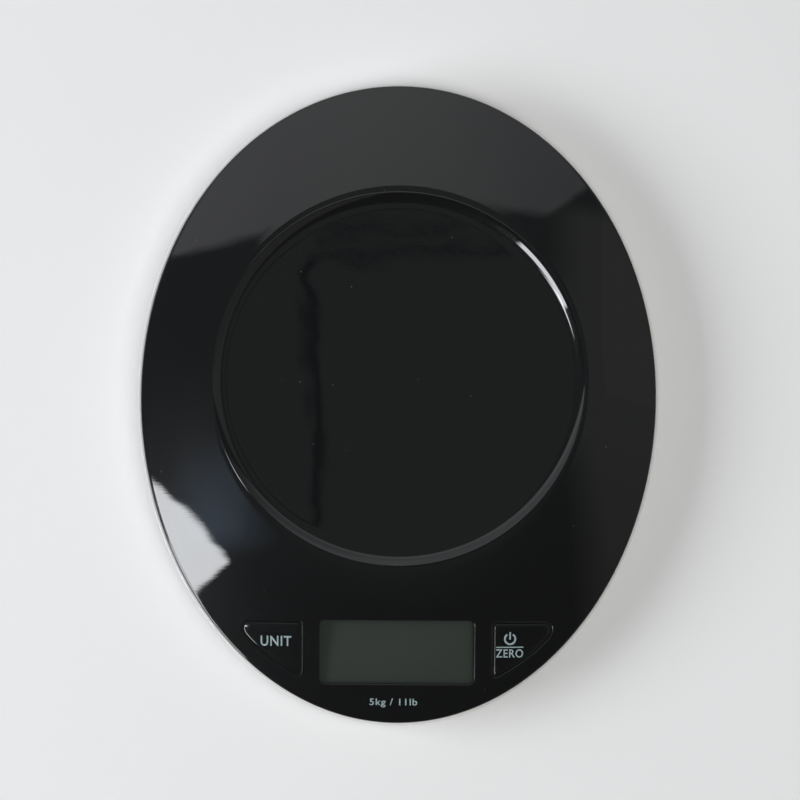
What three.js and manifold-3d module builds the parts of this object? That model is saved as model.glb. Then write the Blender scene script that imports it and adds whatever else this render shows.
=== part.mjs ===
// Electronic kitchen scale with a one-piece egg-shaped platform.
// Millimetres, +Z up, +Y to the back, standing on its feet at Z = 0.
import * as THREE from 'three';
import { mergeVertices } from 'three/addons/utils/BufferGeometryUtils.js';
import Module from 'manifold-3d';

const wasm = await Module();
wasm.setup();

// ---------- driving dimensions ----------
// plan outline of the platform: an egg, wider towards the back
const HALF_WIDTH = 94.1;
const HALF_LENGTH = 116.4;
const EGG = 0.0435;
const SPOKES = 80;

// heights
const FOOT_HEIGHT = 2;
const BASE_HEIGHT = 15;
const COVER_EDGE_Z = 25;
const DOME_RISE = 7;
const DOME_STRAIGHT = 0.8;
const COVER_WALL = 2.2;
const COVER_LAP = 4;
const EDGE_ROUND = 1.4;

// round recess in the platform
const DISH_RADIUS = 67.9;
const DISH_Y = 9.2;
const DISH_DEPTH = 1.9;
const DISH_WALL_RUN = 4.6;

// base tray
const RIM_OUT = 1.6;
const RIM_GAP = 0.45;
const RIM_ROUND = 0.25;
const BASE_WALL = 2.2;
const BASE_INSET = 12;
const TRAVEL = 0.8;
const RIB_WALL = 1.6;
const RIB_HEIGHT = 2;

// display, back to front: opening, pane, glass, frame
const VIEW_WIDTH = 56.4;
const VIEW_LENGTH = 23.4;
const VIEW_CORNER = 1.8;
const VIEW_Y = -90.3;
const PANE_THICK = 1.4;
const GLASS_THICK = 2.6;
const GLASS_LEDGE = 1.9;
const FRAME_WALL = 1.3;
const ZEBRA_WIDTH = 2.2;
const ZEBRA_HEIGHT = 2.5;
const FIT = 0.2;

// corner keys
const KEY_INNER = 35.5;
const KEY_OUTER = 56.4;
const KEY_TOP = -79.7;
const KEY_BOTTOM = -100.1;
const KEY_BULGE = 3;
const KEY_GAP = 0.8;
const KEY_SUNK = 0.35;
const KEY_WALL = 1.6;
const KEY_LIP = 0.8;
const KEY_TRAVEL = 0.5;
const KEY_FREE_PLAY = 0.05;

// main board and what is on it
const BOARD_THICK = 1.6;
const SWITCH_SIZE = 6;
const SWITCH_BODY = 3.5;
const SWITCH_STALK = 0.8;
const PLUNGER_RADIUS = 1.75;
const RUNNING = 0.1;
const BLOB_RADIUS = 6;
const BLOB_HEIGHT = 1.6;
const CAPACITOR_RADIUS = 2.5;
const CAPACITOR_HEIGHT = 5;
const BOARD_SCREW = 1.1;
const BOARD_POST = 2;
const BOARD_MARGIN = 1.8;

// load cell and its mounting
const CELL_WIDTH = 12.7;
const CELL_HEIGHT = 12.7;
const CELL_LENGTH = 75;
const CELL_HOLE = 4.5;
const CELL_HOLE_HALF_PITCH = 7.5;
const CELL_SCREW_NEAR = 5.5;
const CELL_SCREW_FAR = 19.5;
const SPACER_THICK = 2;
const SPACER_LENGTH = 26;
const PAD_THICK = 3.4;
const M4 = 1.95;
const M4_HEAD = 3.6;
const COATING = 1;
const PLATE_WIDTH = 90;
const PLATE_LENGTH = 56;
const PLATE_THICK = 1.5;
const PLATE_SCREW = 1.2;
const PLATE_SCREW_EDGE = 7;
const BOSS_RADIUS = 4;

// battery compartment under the right-hand side
const CELL_AAA_RADIUS = 5.25;
const CELL_AAA_LENGTH = 43.5;
const NUB_RADIUS = 1.9;
const NUB_LENGTH = 1;
const BAY_X = 34;
const BAY_WALL = 1.8;
const BAY_LEDGE = 3.3;
const BATTERY_GAP = 0.5;
const SPRING_LENGTH = 5.2;
const SPRING_TURNS = 3;
const SPRING_WIRE = 0.35;
const CONTACT_THICK = 0.4;
const BUMP_HEIGHT = 1;
const DOOR_THICK = 1.6;
const DOOR_GAP = 0.3;
const TAB_LENGTH = 2.2;
const TAB_THICK = 1;
const TAB_WIDTH = 6;

// feet
const FOOT_RADIUS = 6.5;
const FOOT_SUNK = 1;
const FOOT_X = 46;
const FOOT_FRONT = -76;
const FOOT_BACK = 74;

// wires
const WIRE_RADIUS = 0.6;
const WIRE_CLEAR = 0.3;

// ---------- heights and places that follow from them ----------
const BASE_FLOOR = FOOT_HEIGHT + BASE_WALL;
const BASE_TOP = FOOT_HEIGHT + BASE_HEIGHT;
const SKIRT_BOTTOM = BASE_TOP - COVER_LAP;
const CREST_Z = COVER_EDGE_Z + DOME_RISE;
const DISH_FLOOR = CREST_Z - DISH_DEPTH;
const DISH_UNDER = DISH_FLOOR - COVER_WALL;
const CELL_Y = DISH_Y;
const CELL_Z = FOOT_HEIGHT + PAD_THICK + SPACER_THICK;
const CELL_TOP = CELL_Z + CELL_HEIGHT;
const PLATE_Z = CELL_TOP + SPACER_THICK;
const PLATE_TOP = PLATE_Z + PLATE_THICK;
const PANE_TOP = COVER_EDGE_Z - 0.1;
const PANE_Z = PANE_TOP - PANE_THICK;
const GLASS_TOP = PANE_Z - FIT;
const GLASS_Z = GLASS_TOP - GLASS_THICK;
const BOARD_TOP = GLASS_Z - ZEBRA_HEIGHT - 2 * KEY_FREE_PLAY;
const BOARD_Z = BOARD_TOP - BOARD_THICK;
const PLUNGER_TOP = BOARD_TOP + SWITCH_BODY + SWITCH_STALK;
const KEY_FLANGE_Z = PLUNGER_TOP + 0.2;
const GLASS_WIDTH = VIEW_WIDTH + 2 * GLASS_LEDGE;
const GLASS_LENGTH = VIEW_LENGTH + 2 * GLASS_LEDGE;
const SWITCH_X = (KEY_INNER + KEY_OUTER) / 2 - 2.4;
const SWITCH_Y = (KEY_TOP + KEY_BOTTOM) / 2 + 3.6;
const BAY_WIDTH = 4 * CELL_AAA_RADIUS + 3 * BATTERY_GAP + 1.5;
const BAY_LENGTH = CELL_AAA_LENGTH + NUB_LENGTH + SPRING_LENGTH + BUMP_HEIGHT + 2 * CONTACT_THICK + 0.2;
const BAY_FRONT = DISH_Y - BAY_LENGTH / 2;
const BAY_BACK = DISH_Y + BAY_LENGTH / 2;
const LEDGE_Z = FOOT_HEIGHT + DOOR_THICK + 0.2;
const BATTERY_Z = LEDGE_Z + 0.4 + CELL_AAA_RADIUS;
const BAY_TOP = BATTERY_Z + CELL_AAA_RADIUS + 0.6;
const BATTERY_X = [BAY_X - CELL_AAA_RADIUS - BATTERY_GAP, BAY_X + CELL_AAA_RADIUS + BATTERY_GAP];

// ---------- materials ----------
function paint(colour, roughness, metalness = 0) {
  return new THREE.MeshStandardMaterial({ color: colour, roughness, metalness });
}
const BLACK_GLOSS = paint(0x0b0c0c, 0.08);
const WHITE_PLASTIC = paint(0xececea, 0.45);
const WHITE_MATTE = paint(0xdcdcd8, 0.6);
const CLEAR = paint(0x9aa29c, 0.05);
const LCD_GLASS = paint(0x3c433e, 0.15);
const RUBBER = paint(0x1c1c1c, 0.85);
const GREY_RUBBER = paint(0x55565a, 0.8);
const ALUMINIUM = paint(0xb9bcc0, 0.35, 1);
const STEEL = paint(0x9c9fa3, 0.35, 1);
const NICKEL = paint(0xc2c1ba, 0.25, 1);
const BOARD_GREEN = paint(0x1c5a34, 0.5);
const EPOXY = paint(0x101012, 0.3);
const RESIN_WHITE = paint(0xd8d4c4, 0.5);
const BATTERY_WRAP = paint(0x2f5a86, 0.35);
const WIRE_COLOURS = { red: 0xb01818, black: 0x151515, white: 0xd8d8d4, green: 0x1d7a3a };

// ---------- solids ----------
function solidOf(geometry) {
  const bare = geometry.index ? geometry.clone() : geometry;
  bare.deleteAttribute('normal');
  bare.deleteAttribute('uv');
  const merged = mergeVertices(bare, 1e-4);
  const source = merged.index.array;
  const corners = [];
  for (let i = 0; i < source.length; i += 3) {
    const [a, b, c] = [source[i], source[i + 1], source[i + 2]];
    if (a !== b && b !== c && c !== a) corners.push(a, b, c);
  }
  const vertProperties = Float32Array.from(merged.getAttribute('position').array);
  const triVerts = Uint32Array.from(corners);
  return new wasm.Manifold(new wasm.Mesh({ numProp: 3, vertProperties, triVerts }));
}

function geometryOf(solid) {
  const mesh = solid.getMesh();
  const geometry = new THREE.BufferGeometry();
  geometry.setAttribute('position', new THREE.BufferAttribute(mesh.vertProperties, 3));
  geometry.setIndex(new THREE.BufferAttribute(mesh.triVerts, 1));
  geometry.computeVertexNormals();
  return geometry;
}

function add(...solids) {
  return solids.reduce((whole, next) => whole.add(next));
}

function cut(solid, ...tools) {
  return tools.reduce((left, tool) => left.subtract(tool), solid);
}

function block(x0, x1, y0, y1, z0, z1) {
  const geometry = new THREE.BoxGeometry(x1 - x0, y1 - y0, z1 - z0);
  geometry.translate((x0 + x1) / 2, (y0 + y1) / 2, (z0 + z1) / 2);
  return solidOf(geometry);
}

function rod(radius, x, y, z0, z1, sides = 16) {
  const geometry = new THREE.CylinderGeometry(radius, radius, z1 - z0, sides);
  geometry.rotateX(Math.PI / 2);
  geometry.translate(x, y, (z0 + z1) / 2);
  return solidOf(geometry);
}

function crossRod(radius, y, z, x0, x1, sides = 24) {
  const geometry = new THREE.CylinderGeometry(radius, radius, x1 - x0, sides);
  geometry.rotateZ(Math.PI / 2);
  geometry.translate((x0 + x1) / 2, y, z);
  return solidOf(geometry);
}

function turned(profile, x, y, z, sides = 20) {
  const points = profile.map(([radius, height]) => new THREE.Vector2(radius, height));
  const geometry = new THREE.LatheGeometry(points, sides);
  geometry.rotateX(Math.PI / 2);
  geometry.translate(x, y, z);
  return solidOf(geometry);
}

function prism(shape, z0, z1, curveSegments = 5) {
  const options = { depth: z1 - z0, bevelEnabled: false, curveSegments };
  const geometry = new THREE.ExtrudeGeometry(shape, options);
  geometry.translate(0, 0, z0);
  return solidOf(geometry);
}

function roundedBox(width, length, corner, x, y) {
  const [a, b] = [width / 2, length / 2];
  const shape = new THREE.Shape();
  shape.moveTo(x - a + corner, y - b);
  shape.lineTo(x + a - corner, y - b);
  shape.absarc(x + a - corner, y - b + corner, corner, -Math.PI / 2, 0);
  shape.lineTo(x + a, y + b - corner);
  shape.absarc(x + a - corner, y + b - corner, corner, 0, Math.PI / 2);
  shape.lineTo(x - a + corner, y + b);
  shape.absarc(x - a + corner, y + b - corner, corner, Math.PI / 2, Math.PI);
  shape.lineTo(x - a, y - b + corner);
  shape.absarc(x - a + corner, y - b + corner, corner, Math.PI, 1.5 * Math.PI);
  return shape;
}

function polygon(corners) {
  return new THREE.Shape(corners.map(([x, y]) => new THREE.Vector2(x, y)));
}

// ---------- egg-shaped lofts about the recess's centre ----------
// A spoke runs from the recess's centre to the platform's outline.
function makeSpoke(turn) {
  const swell = Math.sqrt(1 - EGG * Math.sin(turn));
  const x = HALF_WIDTH * Math.cos(turn) / swell;
  const y = HALF_LENGTH * Math.sin(turn);
  const slopeX = -HALF_WIDTH * Math.sin(turn) / swell
    + HALF_WIDTH * EGG * Math.cos(turn) ** 2 / (2 * swell ** 3);
  const slopeY = HALF_LENGTH * Math.cos(turn);
  const reach = Math.hypot(x, y - DISH_Y);
  const [dx, dy] = [x / reach, (y - DISH_Y) / reach];
  const lean = (dx * slopeY - dy * slopeX) / Math.hypot(slopeX, slopeY);
  return { dx, dy, reach, lean };
}

const spokes = Array.from({ length: SPOKES }, (_, i) => makeSpoke(2 * Math.PI * i / SPOKES));

// Each station gives a distance along the spoke and a height; the list runs
// from the axis at the bottom, round the outside, to the axis at the top.
function loft(stations) {
  const marks = stations.map((_, i) => new THREE.Vector2(1, i));
  const geometry = new THREE.LatheGeometry(marks, SPOKES);
  const position = geometry.getAttribute('position');
  for (let i = 0; i <= SPOKES; i += 1) {
    const spoke = spokes[i % SPOKES];
    stations.forEach((station, j) => {
      const [distance, z] = station(spoke);
      const x = spoke.dx * distance;
      const y = DISH_Y + spoke.dy * distance;
      position.setXYZ(i * stations.length + j, x, y, z);
    });
  }
  return solidOf(geometry);
}

function inset(amount, z) {
  return (spoke) => [spoke.reach - amount / spoke.lean, z];
}

function domeHeight(share) {
  return CREST_Z - DOME_RISE * (DOME_STRAIGHT * share + (1 - DOME_STRAIGHT) * share ** 2);
}

// A point on the dome, a share of the way from the recess's rim to the edge.
function dome(share, edge, lower) {
  return (spoke) => {
    const end = spoke.reach - edge / spoke.lean;
    const distance = DISH_RADIUS + (end - DISH_RADIUS) * share;
    const real = (distance - DISH_RADIUS) / (spoke.reach - DISH_RADIUS);
    return [distance, domeHeight(real) - lower];
  };
}

function ring(distance, z) {
  return () => [distance, z];
}

function arcSteps(count) {
  return Array.from({ length: count + 1 }, (_, i) => (Math.PI / 2) * i / count);
}

const DOME_SHARES = [0, 0.25, 0.5, 0.75, 1];
const UNDER_SHARES = [0, 0.5, 1];

function domeTop(lower) {
  return DOME_SHARES.map((share) => dome(share, EDGE_ROUND, lower)).reverse();
}

// everything below the dome, lowered by an amount
function underDome(lower) {
  return loft([
    ring(0, FOOT_HEIGHT),
    inset(COVER_WALL + 0.1, FOOT_HEIGHT),
    ...domeTop(lower),
    ring(0, CREST_Z - lower),
  ]);
}

// ---------- platform cover ----------
function dishWall() {
  const half = Math.atan(DISH_DEPTH / DISH_WALL_RUN);
  const radius = DISH_WALL_RUN / Math.sin(2 * half);
  return [1, 0.75, 0.5, 0.25, 0].map((share) => {
    const angle = 2 * half * share;
    const distance = DISH_RADIUS - DISH_WALL_RUN + radius * Math.sin(angle);
    return ring(distance, DISH_FLOOR + radius * (1 - Math.cos(angle)));
  });
}

function edgeRound() {
  return arcSteps(3).slice(1).reverse().map((angle) => (spoke) => {
    const [, top] = dome(1, EDGE_ROUND, 0)(spoke);
    const out = EDGE_ROUND * (1 - Math.sin(angle)) / spoke.lean;
    return [spoke.reach - out, top - EDGE_ROUND * (1 - Math.cos(angle))];
  });
}

function coverBlank() {
  const under = UNDER_SHARES.map((share) => dome(share, COVER_WALL + EDGE_ROUND, COVER_WALL));
  return loft([
    ring(0, DISH_UNDER),
    ring(DISH_RADIUS - DISH_WALL_RUN - 1, DISH_UNDER),
    ...under,
    inset(COVER_WALL, COVER_EDGE_Z - COVER_WALL - EDGE_ROUND),
    inset(COVER_WALL, SKIRT_BOTTOM),
    inset(0, SKIRT_BOTTOM),
    ...edgeRound(),
    ...domeTop(0),
    ...dishWall().slice(1),
    ring(0, DISH_FLOOR),
  ]);
}

function keyShape(side, grow) {
  const inner = KEY_INNER - grow;
  const outer = KEY_OUTER + grow;
  const top = KEY_TOP + grow;
  const bottom = KEY_BOTTOM - grow;
  const round = Math.max(2.4 + grow, 1);
  const tight = Math.max(1 + grow, 0.4);
  const bulge = (KEY_BULGE + grow) * Math.SQRT1_2;
  const shape = new THREE.Shape();
  shape.moveTo(side * inner, top - tight);
  shape.lineTo(side * inner, bottom + 1.6 * round);
  shape.quadraticCurveTo(side * inner, bottom, side * (inner + 0.9 * round), bottom + 0.7 * round);
  shape.quadraticCurveTo(
    side * ((inner + outer) / 2 + bulge), (top + bottom) / 2 - bulge,
    side * (outer - 0.75 * round), top - 2.1 * round,
  );
  shape.bezierCurveTo(
    side * (outer + 0.05 * round), top - 1.35 * round,
    side * (outer + 0.1 * round), top,
    side * (outer - round), top,
  );
  shape.lineTo(side * (inner + tight), top);
  shape.quadraticCurveTo(side * inner, top, side * inner, top - tight);
  return shape;
}

const BOSS_PLACES = [-1, 1].flatMap((sx) => [-1, 1].map((sy) => [
  sx * (PLATE_WIDTH / 2 - PLATE_SCREW_EDGE),
  DISH_Y + sy * (PLATE_LENGTH / 2 - PLATE_SCREW_EDGE),
]));
const POST_FRONT = VIEW_Y - GLASS_LENGTH / 2 - FRAME_WALL - BOARD_POST - 0.3;
const POST_PLACES = [
  [-(KEY_OUTER - 5), KEY_TOP + 9.3],
  [KEY_OUTER - 5, KEY_TOP + 9.3],
  [-(KEY_INNER / 2), POST_FRONT],
  [KEY_INNER / 2, POST_FRONT],
];

function topCover() {
  const pocket = [GLASS_WIDTH + 2 * FIT, GLASS_LENGTH + 2 * FIT];
  const pad = prism(
    roundedBox(pocket[0] + 2 * FRAME_WALL, pocket[1] + 2 * FRAME_WALL, 2, 0, VIEW_Y),
    PANE_Z, CREST_Z,
  ).intersect(underDome(COVER_WALL / 2));
  const posts = POST_PLACES.map(([x, y]) => rod(BOARD_POST, x, y, BOARD_TOP, CREST_Z, 16));
  const heldPosts = posts.map((post) => post.intersect(underDome(COVER_WALL / 2)));
  const bosses = BOSS_PLACES.map(([x, y]) => rod(BOSS_RADIUS, x, y, PLATE_TOP, DISH_UNDER + 1, 16));
  const body = add(coverBlank(), pad, ...heldPosts, ...bosses);
  const view = prism(roundedBox(VIEW_WIDTH, VIEW_LENGTH, VIEW_CORNER, 0, VIEW_Y), PANE_Z - 1, CREST_Z + 1);
  const seat = prism(roundedBox(...pocket, 1, 0, VIEW_Y), PANE_Z - 1, PANE_TOP);
  const keyways = [-1, 1].map((side) => prism(keyShape(side, KEY_GAP), SKIRT_BOTTOM, CREST_Z + 1));
  const boardHoles = POST_PLACES.map(([x, y]) => (
    rod(BOARD_SCREW + RUNNING, x, y, BOARD_TOP - 1, BOARD_TOP + 5, 12)
  ));
  const plateHoles = BOSS_PLACES.map(([x, y]) => (
    rod(PLATE_SCREW + RUNNING, x, y, PLATE_TOP - 1, DISH_UNDER - 0.4, 12)
  ));
  return cut(body, view, seat, ...keyways, ...boardHoles, ...plateHoles);
}

// ---------- display ----------
function displayWindow() {
  return prism(roundedBox(GLASS_WIDTH, GLASS_LENGTH, 1, 0, VIEW_Y), PANE_Z, PANE_TOP - 0.05);
}

function lcdPanel() {
  const half = GLASS_WIDTH / 2 - FIT;
  const length = GLASS_LENGTH / 2 - FIT;
  const middle = GLASS_Z + GLASS_THICK / 2;
  const lower = block(-half, half, VIEW_Y - length, VIEW_Y + length, GLASS_Z, middle);
  const upper = block(-half, half, VIEW_Y - length + 1.2, VIEW_Y + length - 1.2, middle - 0.01, GLASS_TOP);
  return lower.add(upper);
}

function zebraY(side) {
  return VIEW_Y + side * (GLASS_LENGTH / 2 - FIT - ZEBRA_WIDTH / 2 - 0.5);
}

function lcdFrame() {
  const outer = prism(
    roundedBox(GLASS_WIDTH + 2 * FRAME_WALL, GLASS_LENGTH + 2 * FRAME_WALL, 1.5, 0, VIEW_Y),
    BOARD_TOP + KEY_FREE_PLAY, GLASS_TOP,
  );
  const nest = block(
    -GLASS_WIDTH / 2, GLASS_WIDTH / 2,
    VIEW_Y - GLASS_LENGTH / 2, VIEW_Y + GLASS_LENGTH / 2,
    GLASS_Z - KEY_FREE_PLAY, GLASS_TOP + 1,
  );
  const middle = block(-24, 24, VIEW_Y - 7, VIEW_Y + 7, BOARD_Z, GLASS_TOP);
  const slots = [-1, 1].map((side) => block(
    -25.2, 25.2,
    zebraY(side) - ZEBRA_WIDTH / 2 - RUNNING, zebraY(side) + ZEBRA_WIDTH / 2 + RUNNING,
    BOARD_Z, GLASS_TOP,
  ));
  return cut(outer, nest, middle, ...slots);
}

function zebra(side) {
  const [y0, y1] = [zebraY(side) - ZEBRA_WIDTH / 2, zebraY(side) + ZEBRA_WIDTH / 2];
  const z0 = BOARD_TOP + KEY_FREE_PLAY;
  return block(-25, 25, y0, y1, z0, z0 + ZEBRA_HEIGHT);
}

// ---------- keys ----------
function key(side) {
  const z0 = KEY_FLANGE_Z;
  const column = prism(keyShape(side, 0), z0, CREST_Z).intersect(underDome(KEY_SUNK));
  const hollow = prism(keyShape(side, -KEY_WALL), z0 - 1, CREST_Z).intersect(underDome(KEY_SUNK + KEY_WALL));
  const flange = prism(keyShape(side, KEY_GAP + KEY_LIP), z0, z0 + KEY_LIP)
    .subtract(prism(keyShape(side, -KEY_WALL), z0 - 1, z0 + 2));
  const stem = rod(2.2, side * SWITCH_X, SWITCH_Y, PLUNGER_TOP + KEY_FREE_PLAY, CREST_Z, 16)
    .intersect(underDome(KEY_SUNK + KEY_WALL / 2));
  return add(cut(column, hollow), flange, stem);
}

function switchBody(side) {
  const half = SWITCH_SIZE / 2;
  const [x, y] = [side * SWITCH_X, SWITCH_Y];
  const body = block(x - half, x + half, y - half, y + half, BOARD_TOP, BOARD_TOP + SWITCH_BODY);
  const well = rod(PLUNGER_RADIUS + RUNNING, x, y, BOARD_TOP + 0.4, BOARD_TOP + 2 * SWITCH_BODY, 24);
  return body.subtract(well);
}

function switchPlunger(side) {
  const bottom = BOARD_TOP + 0.4 + KEY_TRAVEL + 0.1;
  return rod(PLUNGER_RADIUS, side * SWITCH_X, SWITCH_Y, bottom, PLUNGER_TOP, 24);
}

// ---------- main board ----------
function mainBoard() {
  const [wide, back, bend] = [KEY_OUTER + 0.7, KEY_TOP + 13.3, KEY_TOP + 0.3];
  const half = [
    [wide, back],
    [wide, bend],
    [KEY_INNER + 0.5, KEY_BOTTOM - 2.6],
    [KEY_INNER / 2 + BOARD_POST + 0.8, POST_FRONT - BOARD_MARGIN],
  ];
  const mirrored = half.map(([x, y]) => [-x, y]);
  const outline = polygon([...half.reverse(), ...mirrored]);
  const holes = POST_PLACES.map(([x, y]) => rod(BOARD_SCREW + FIT, x, y, BOARD_Z - 1, BOARD_TOP + 1, 12));
  return cut(prism(outline, BOARD_Z, BOARD_TOP), ...holes);
}

function processorBlob() {
  const top = BOARD_Z - BLOB_HEIGHT;
  const profile = [
    [0, 0], [BLOB_RADIUS * 0.6, 0.2], [BLOB_RADIUS * 0.9, 0.8], [BLOB_RADIUS, BLOB_HEIGHT], [0, BLOB_HEIGHT],
  ];
  return turned(profile, 20, VIEW_Y, top);
}

function crystal() {
  return crossRod(1.5, VIEW_Y + 4, BOARD_Z - 1.5, -26, -18, 12);
}

function capacitor() {
  return rod(CAPACITOR_RADIUS, 2, VIEW_Y + 10, BOARD_Z - CAPACITOR_HEIGHT, BOARD_Z, 16);
}

// a screw that points up, with its head below the joint at z
function screw(radius, head, headHeight, length, x, y, z) {
  const profile = [
    [0, -headHeight], [head * 0.8, -headHeight], [head, -headHeight * 0.6], [head, 0],
    [radius, 0], [radius, length - radius / 2], [radius / 2, length], [0, length],
  ];
  return turned(profile, x, y, z, 12);
}

// a screw that points down, with its head above the joint at z
function screwDown(radius, head, headHeight, length, x, y, z) {
  const profile = [
    [0, -length], [radius, -length], [radius, 0], [head, 0],
    [head, headHeight * 0.6], [head * 0.8, headHeight], [0, headHeight],
  ];
  return turned(profile, x, y, z, 12);
}

// ---------- load cell ----------
const CELL_FRONT = CELL_Y - CELL_LENGTH / 2;
const CELL_BACK = CELL_Y + CELL_LENGTH / 2;
const BASE_SCREWS = [CELL_BACK - CELL_SCREW_NEAR, CELL_BACK - CELL_SCREW_FAR];
const TOP_SCREWS = [CELL_FRONT + CELL_SCREW_NEAR, CELL_FRONT + CELL_SCREW_FAR];

function loadCell() {
  const half = CELL_WIDTH / 2;
  const middle = CELL_Z + CELL_HEIGHT / 2;
  const bar = block(-half, half, CELL_FRONT, CELL_BACK, CELL_Z, CELL_TOP);
  const eyes = [-1, 1].map((side) => (
    crossRod(CELL_HOLE, CELL_Y + side * CELL_HOLE_HALF_PITCH, middle, -half - 1, half + 1)
  ));
  const slot = block(
    -half - 1, half + 1,
    CELL_Y - CELL_HOLE_HALF_PITCH, CELL_Y + CELL_HOLE_HALF_PITCH,
    middle - CELL_HOLE / 2, middle + CELL_HOLE / 2,
  );
  const holes = [...BASE_SCREWS, ...TOP_SCREWS].map(
    (y) => rod(M4 + RUNNING, 0, y, CELL_Z - 1, CELL_TOP + 1),
  );
  return cut(bar, ...eyes, slot, ...holes);
}

function spacer(screws, z) {
  const y = (screws[0] + screws[1]) / 2;
  const half = CELL_WIDTH / 2;
  const plate = block(-half, half, y - SPACER_LENGTH / 2, y + SPACER_LENGTH / 2, z, z + SPACER_THICK);
  return cut(plate, ...screws.map((at) => rod(M4 + RUNNING, 0, at, z - 1, z + SPACER_THICK + 1)));
}

function gaugeCoating(z) {
  return prism(roundedBox(CELL_WIDTH - 2, 20, 3, 0, CELL_Y), z, z + COATING, 4);
}

function loadPlate() {
  const plate = prism(roundedBox(PLATE_WIDTH, PLATE_LENGTH, 6, 0, DISH_Y), PLATE_Z, PLATE_TOP);
  const corners = BOSS_PLACES.map(([x, y]) => rod(PLATE_SCREW + 0.4, x, y, PLATE_Z - 1, PLATE_TOP + 1, 16));
  const middle = TOP_SCREWS.map((y) => rod(M4 + RUNNING, 0, y, PLATE_Z - 1, PLATE_TOP + 1));
  return cut(plate, ...corners, ...middle);
}

// ---------- base ----------
function baseBlank() {
  const bend = COVER_LAP + BASE_HEIGHT - 8;
  const curve = arcSteps(4).slice(1).map((angle) => inset(
    BASE_INSET - (BASE_INSET + RIM_OUT) * Math.sin(angle),
    FOOT_HEIGHT + bend * (1 - Math.cos(angle)),
  ));
  const ledge = SKIRT_BOTTOM - TRAVEL;
  const depth = ledge - BASE_FLOOR;
  const innerCurve = arcSteps(3).reverse().map((angle) => inset(
    BASE_INSET + 1 - (BASE_INSET + 0.2) * Math.sin(angle),
    BASE_FLOOR + depth * (1 - Math.cos(angle)),
  ));
  return loft([
    ring(0, FOOT_HEIGHT),
    inset(BASE_INSET, FOOT_HEIGHT),
    ...curve,
    inset(-RIM_OUT, BASE_TOP - RIM_ROUND),
    inset(-RIM_OUT + RIM_ROUND, BASE_TOP),
    inset(-RIM_GAP - RIM_ROUND, BASE_TOP),
    inset(-RIM_GAP, BASE_TOP - RIM_ROUND),
    inset(-RIM_GAP, ledge),
    ...innerCurve,
    ring(0, BASE_FLOOR),
  ]);
}

const DOOR_HALF_WIDTH = BAY_WIDTH / 2 + BAY_WALL - DOOR_GAP;
const DOOR_FRONT = BAY_FRONT - BAY_LEDGE + DOOR_GAP;
const DOOR_BACK = BAY_BACK + BAY_LEDGE - DOOR_GAP;
const TAB_PLACES = [BAY_X - BAY_WIDTH / 4, BAY_X + BAY_WIDTH / 4];

function bayTools() {
  const half = BAY_WIDTH / 2;
  const room = block(BAY_X - half, BAY_X + half, BAY_FRONT, BAY_BACK, FOOT_HEIGHT - 1, BAY_TOP);
  const mouth = block(
    BAY_X - DOOR_HALF_WIDTH - DOOR_GAP, BAY_X + DOOR_HALF_WIDTH + DOOR_GAP,
    DOOR_FRONT - DOOR_GAP, DOOR_BACK + DOOR_GAP,
    FOOT_HEIGHT - 1, LEDGE_Z,
  );
  const slots = TAB_PLACES.map((x) => block(
    x - TAB_WIDTH / 2 - 0.4, x + TAB_WIDTH / 2 + 0.4,
    DOOR_BACK - 2.4, DOOR_BACK + TAB_LENGTH + 0.9,
    FOOT_HEIGHT + 0.5, FOOT_HEIGHT + 3.6,
  ));
  const wireSlots = BATTERY_X.map((x) => block(
    x - 2.3, x + 2.3, BAY_FRONT, BAY_FRONT + CONTACT_THICK + 0.3, BAY_TOP - 1, BAY_TOP + 4,
  ));
  return [room, mouth, ...slots, ...wireSlots];
}

function baseShell() {
  const half = BAY_WIDTH / 2 + 2 * BAY_WALL;
  const bay = block(
    BAY_X - half, BAY_X + half,
    DOOR_FRONT - 2, DOOR_BACK + TAB_LENGTH + 2.4,
    FOOT_HEIGHT + 0.5, BASE_FLOOR + 3,
  );
  const bayRoom = block(
    BAY_X - half + BAY_WALL, BAY_X + half - BAY_WALL,
    BAY_FRONT - BAY_WALL, BAY_BACK + BAY_WALL,
    FOOT_HEIGHT + 0.5, BAY_TOP + BAY_WALL,
  );
  const padY = (BASE_SCREWS[0] + BASE_SCREWS[1]) / 2;
  const padOutline = roundedBox(CELL_WIDTH + 6, SPACER_LENGTH + 6, 3, 0, padY);
  const pad = prism(padOutline, FOOT_HEIGHT + 0.5, CELL_Z - SPACER_THICK);
  const ribTop = BASE_FLOOR + RIB_HEIGHT - 0.4;
  const acrossRibs = [FOOT_FRONT / 2 - 8, FOOT_BACK - 6].map((y) => (
    block(-62, 62, y, y + RIB_WALL, FOOT_HEIGHT + 0.5, ribTop)
  ));
  const alongRibs = [-30, -12].map((x) => (
    block(x, x + RIB_WALL, FOOT_FRONT, FOOT_BACK, FOOT_HEIGHT + 0.5, ribTop)
  ));
  const footSeats = FOOT_PLACES.map(([, x, y]) => (
    rod(FOOT_RADIUS + FIT, x, y, FOOT_HEIGHT - 1, FOOT_HEIGHT + FOOT_SUNK, 24)
  ));
  const screwWays = BASE_SCREWS.flatMap((y) => [
    rod(M4 + FIT, 0, y, FOOT_HEIGHT - 1, CELL_Z, 16),
    rod(M4_HEAD + 0.5, 0, y, FOOT_HEIGHT - 1, FOOT_HEIGHT + 2, 20),
  ]);
  const body = add(baseBlank(), bay, bayRoom, pad, ...acrossRibs, ...alongRibs);
  return cut(body, ...bayTools(), ...footSeats, ...screwWays);
}

const FOOT_PLACES = [
  ['foot_front_left', -FOOT_X, FOOT_FRONT],
  ['foot_front_right', FOOT_X, FOOT_FRONT],
  ['foot_back_left', -FOOT_X, FOOT_BACK],
  ['foot_back_right', FOOT_X, FOOT_BACK],
];

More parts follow.
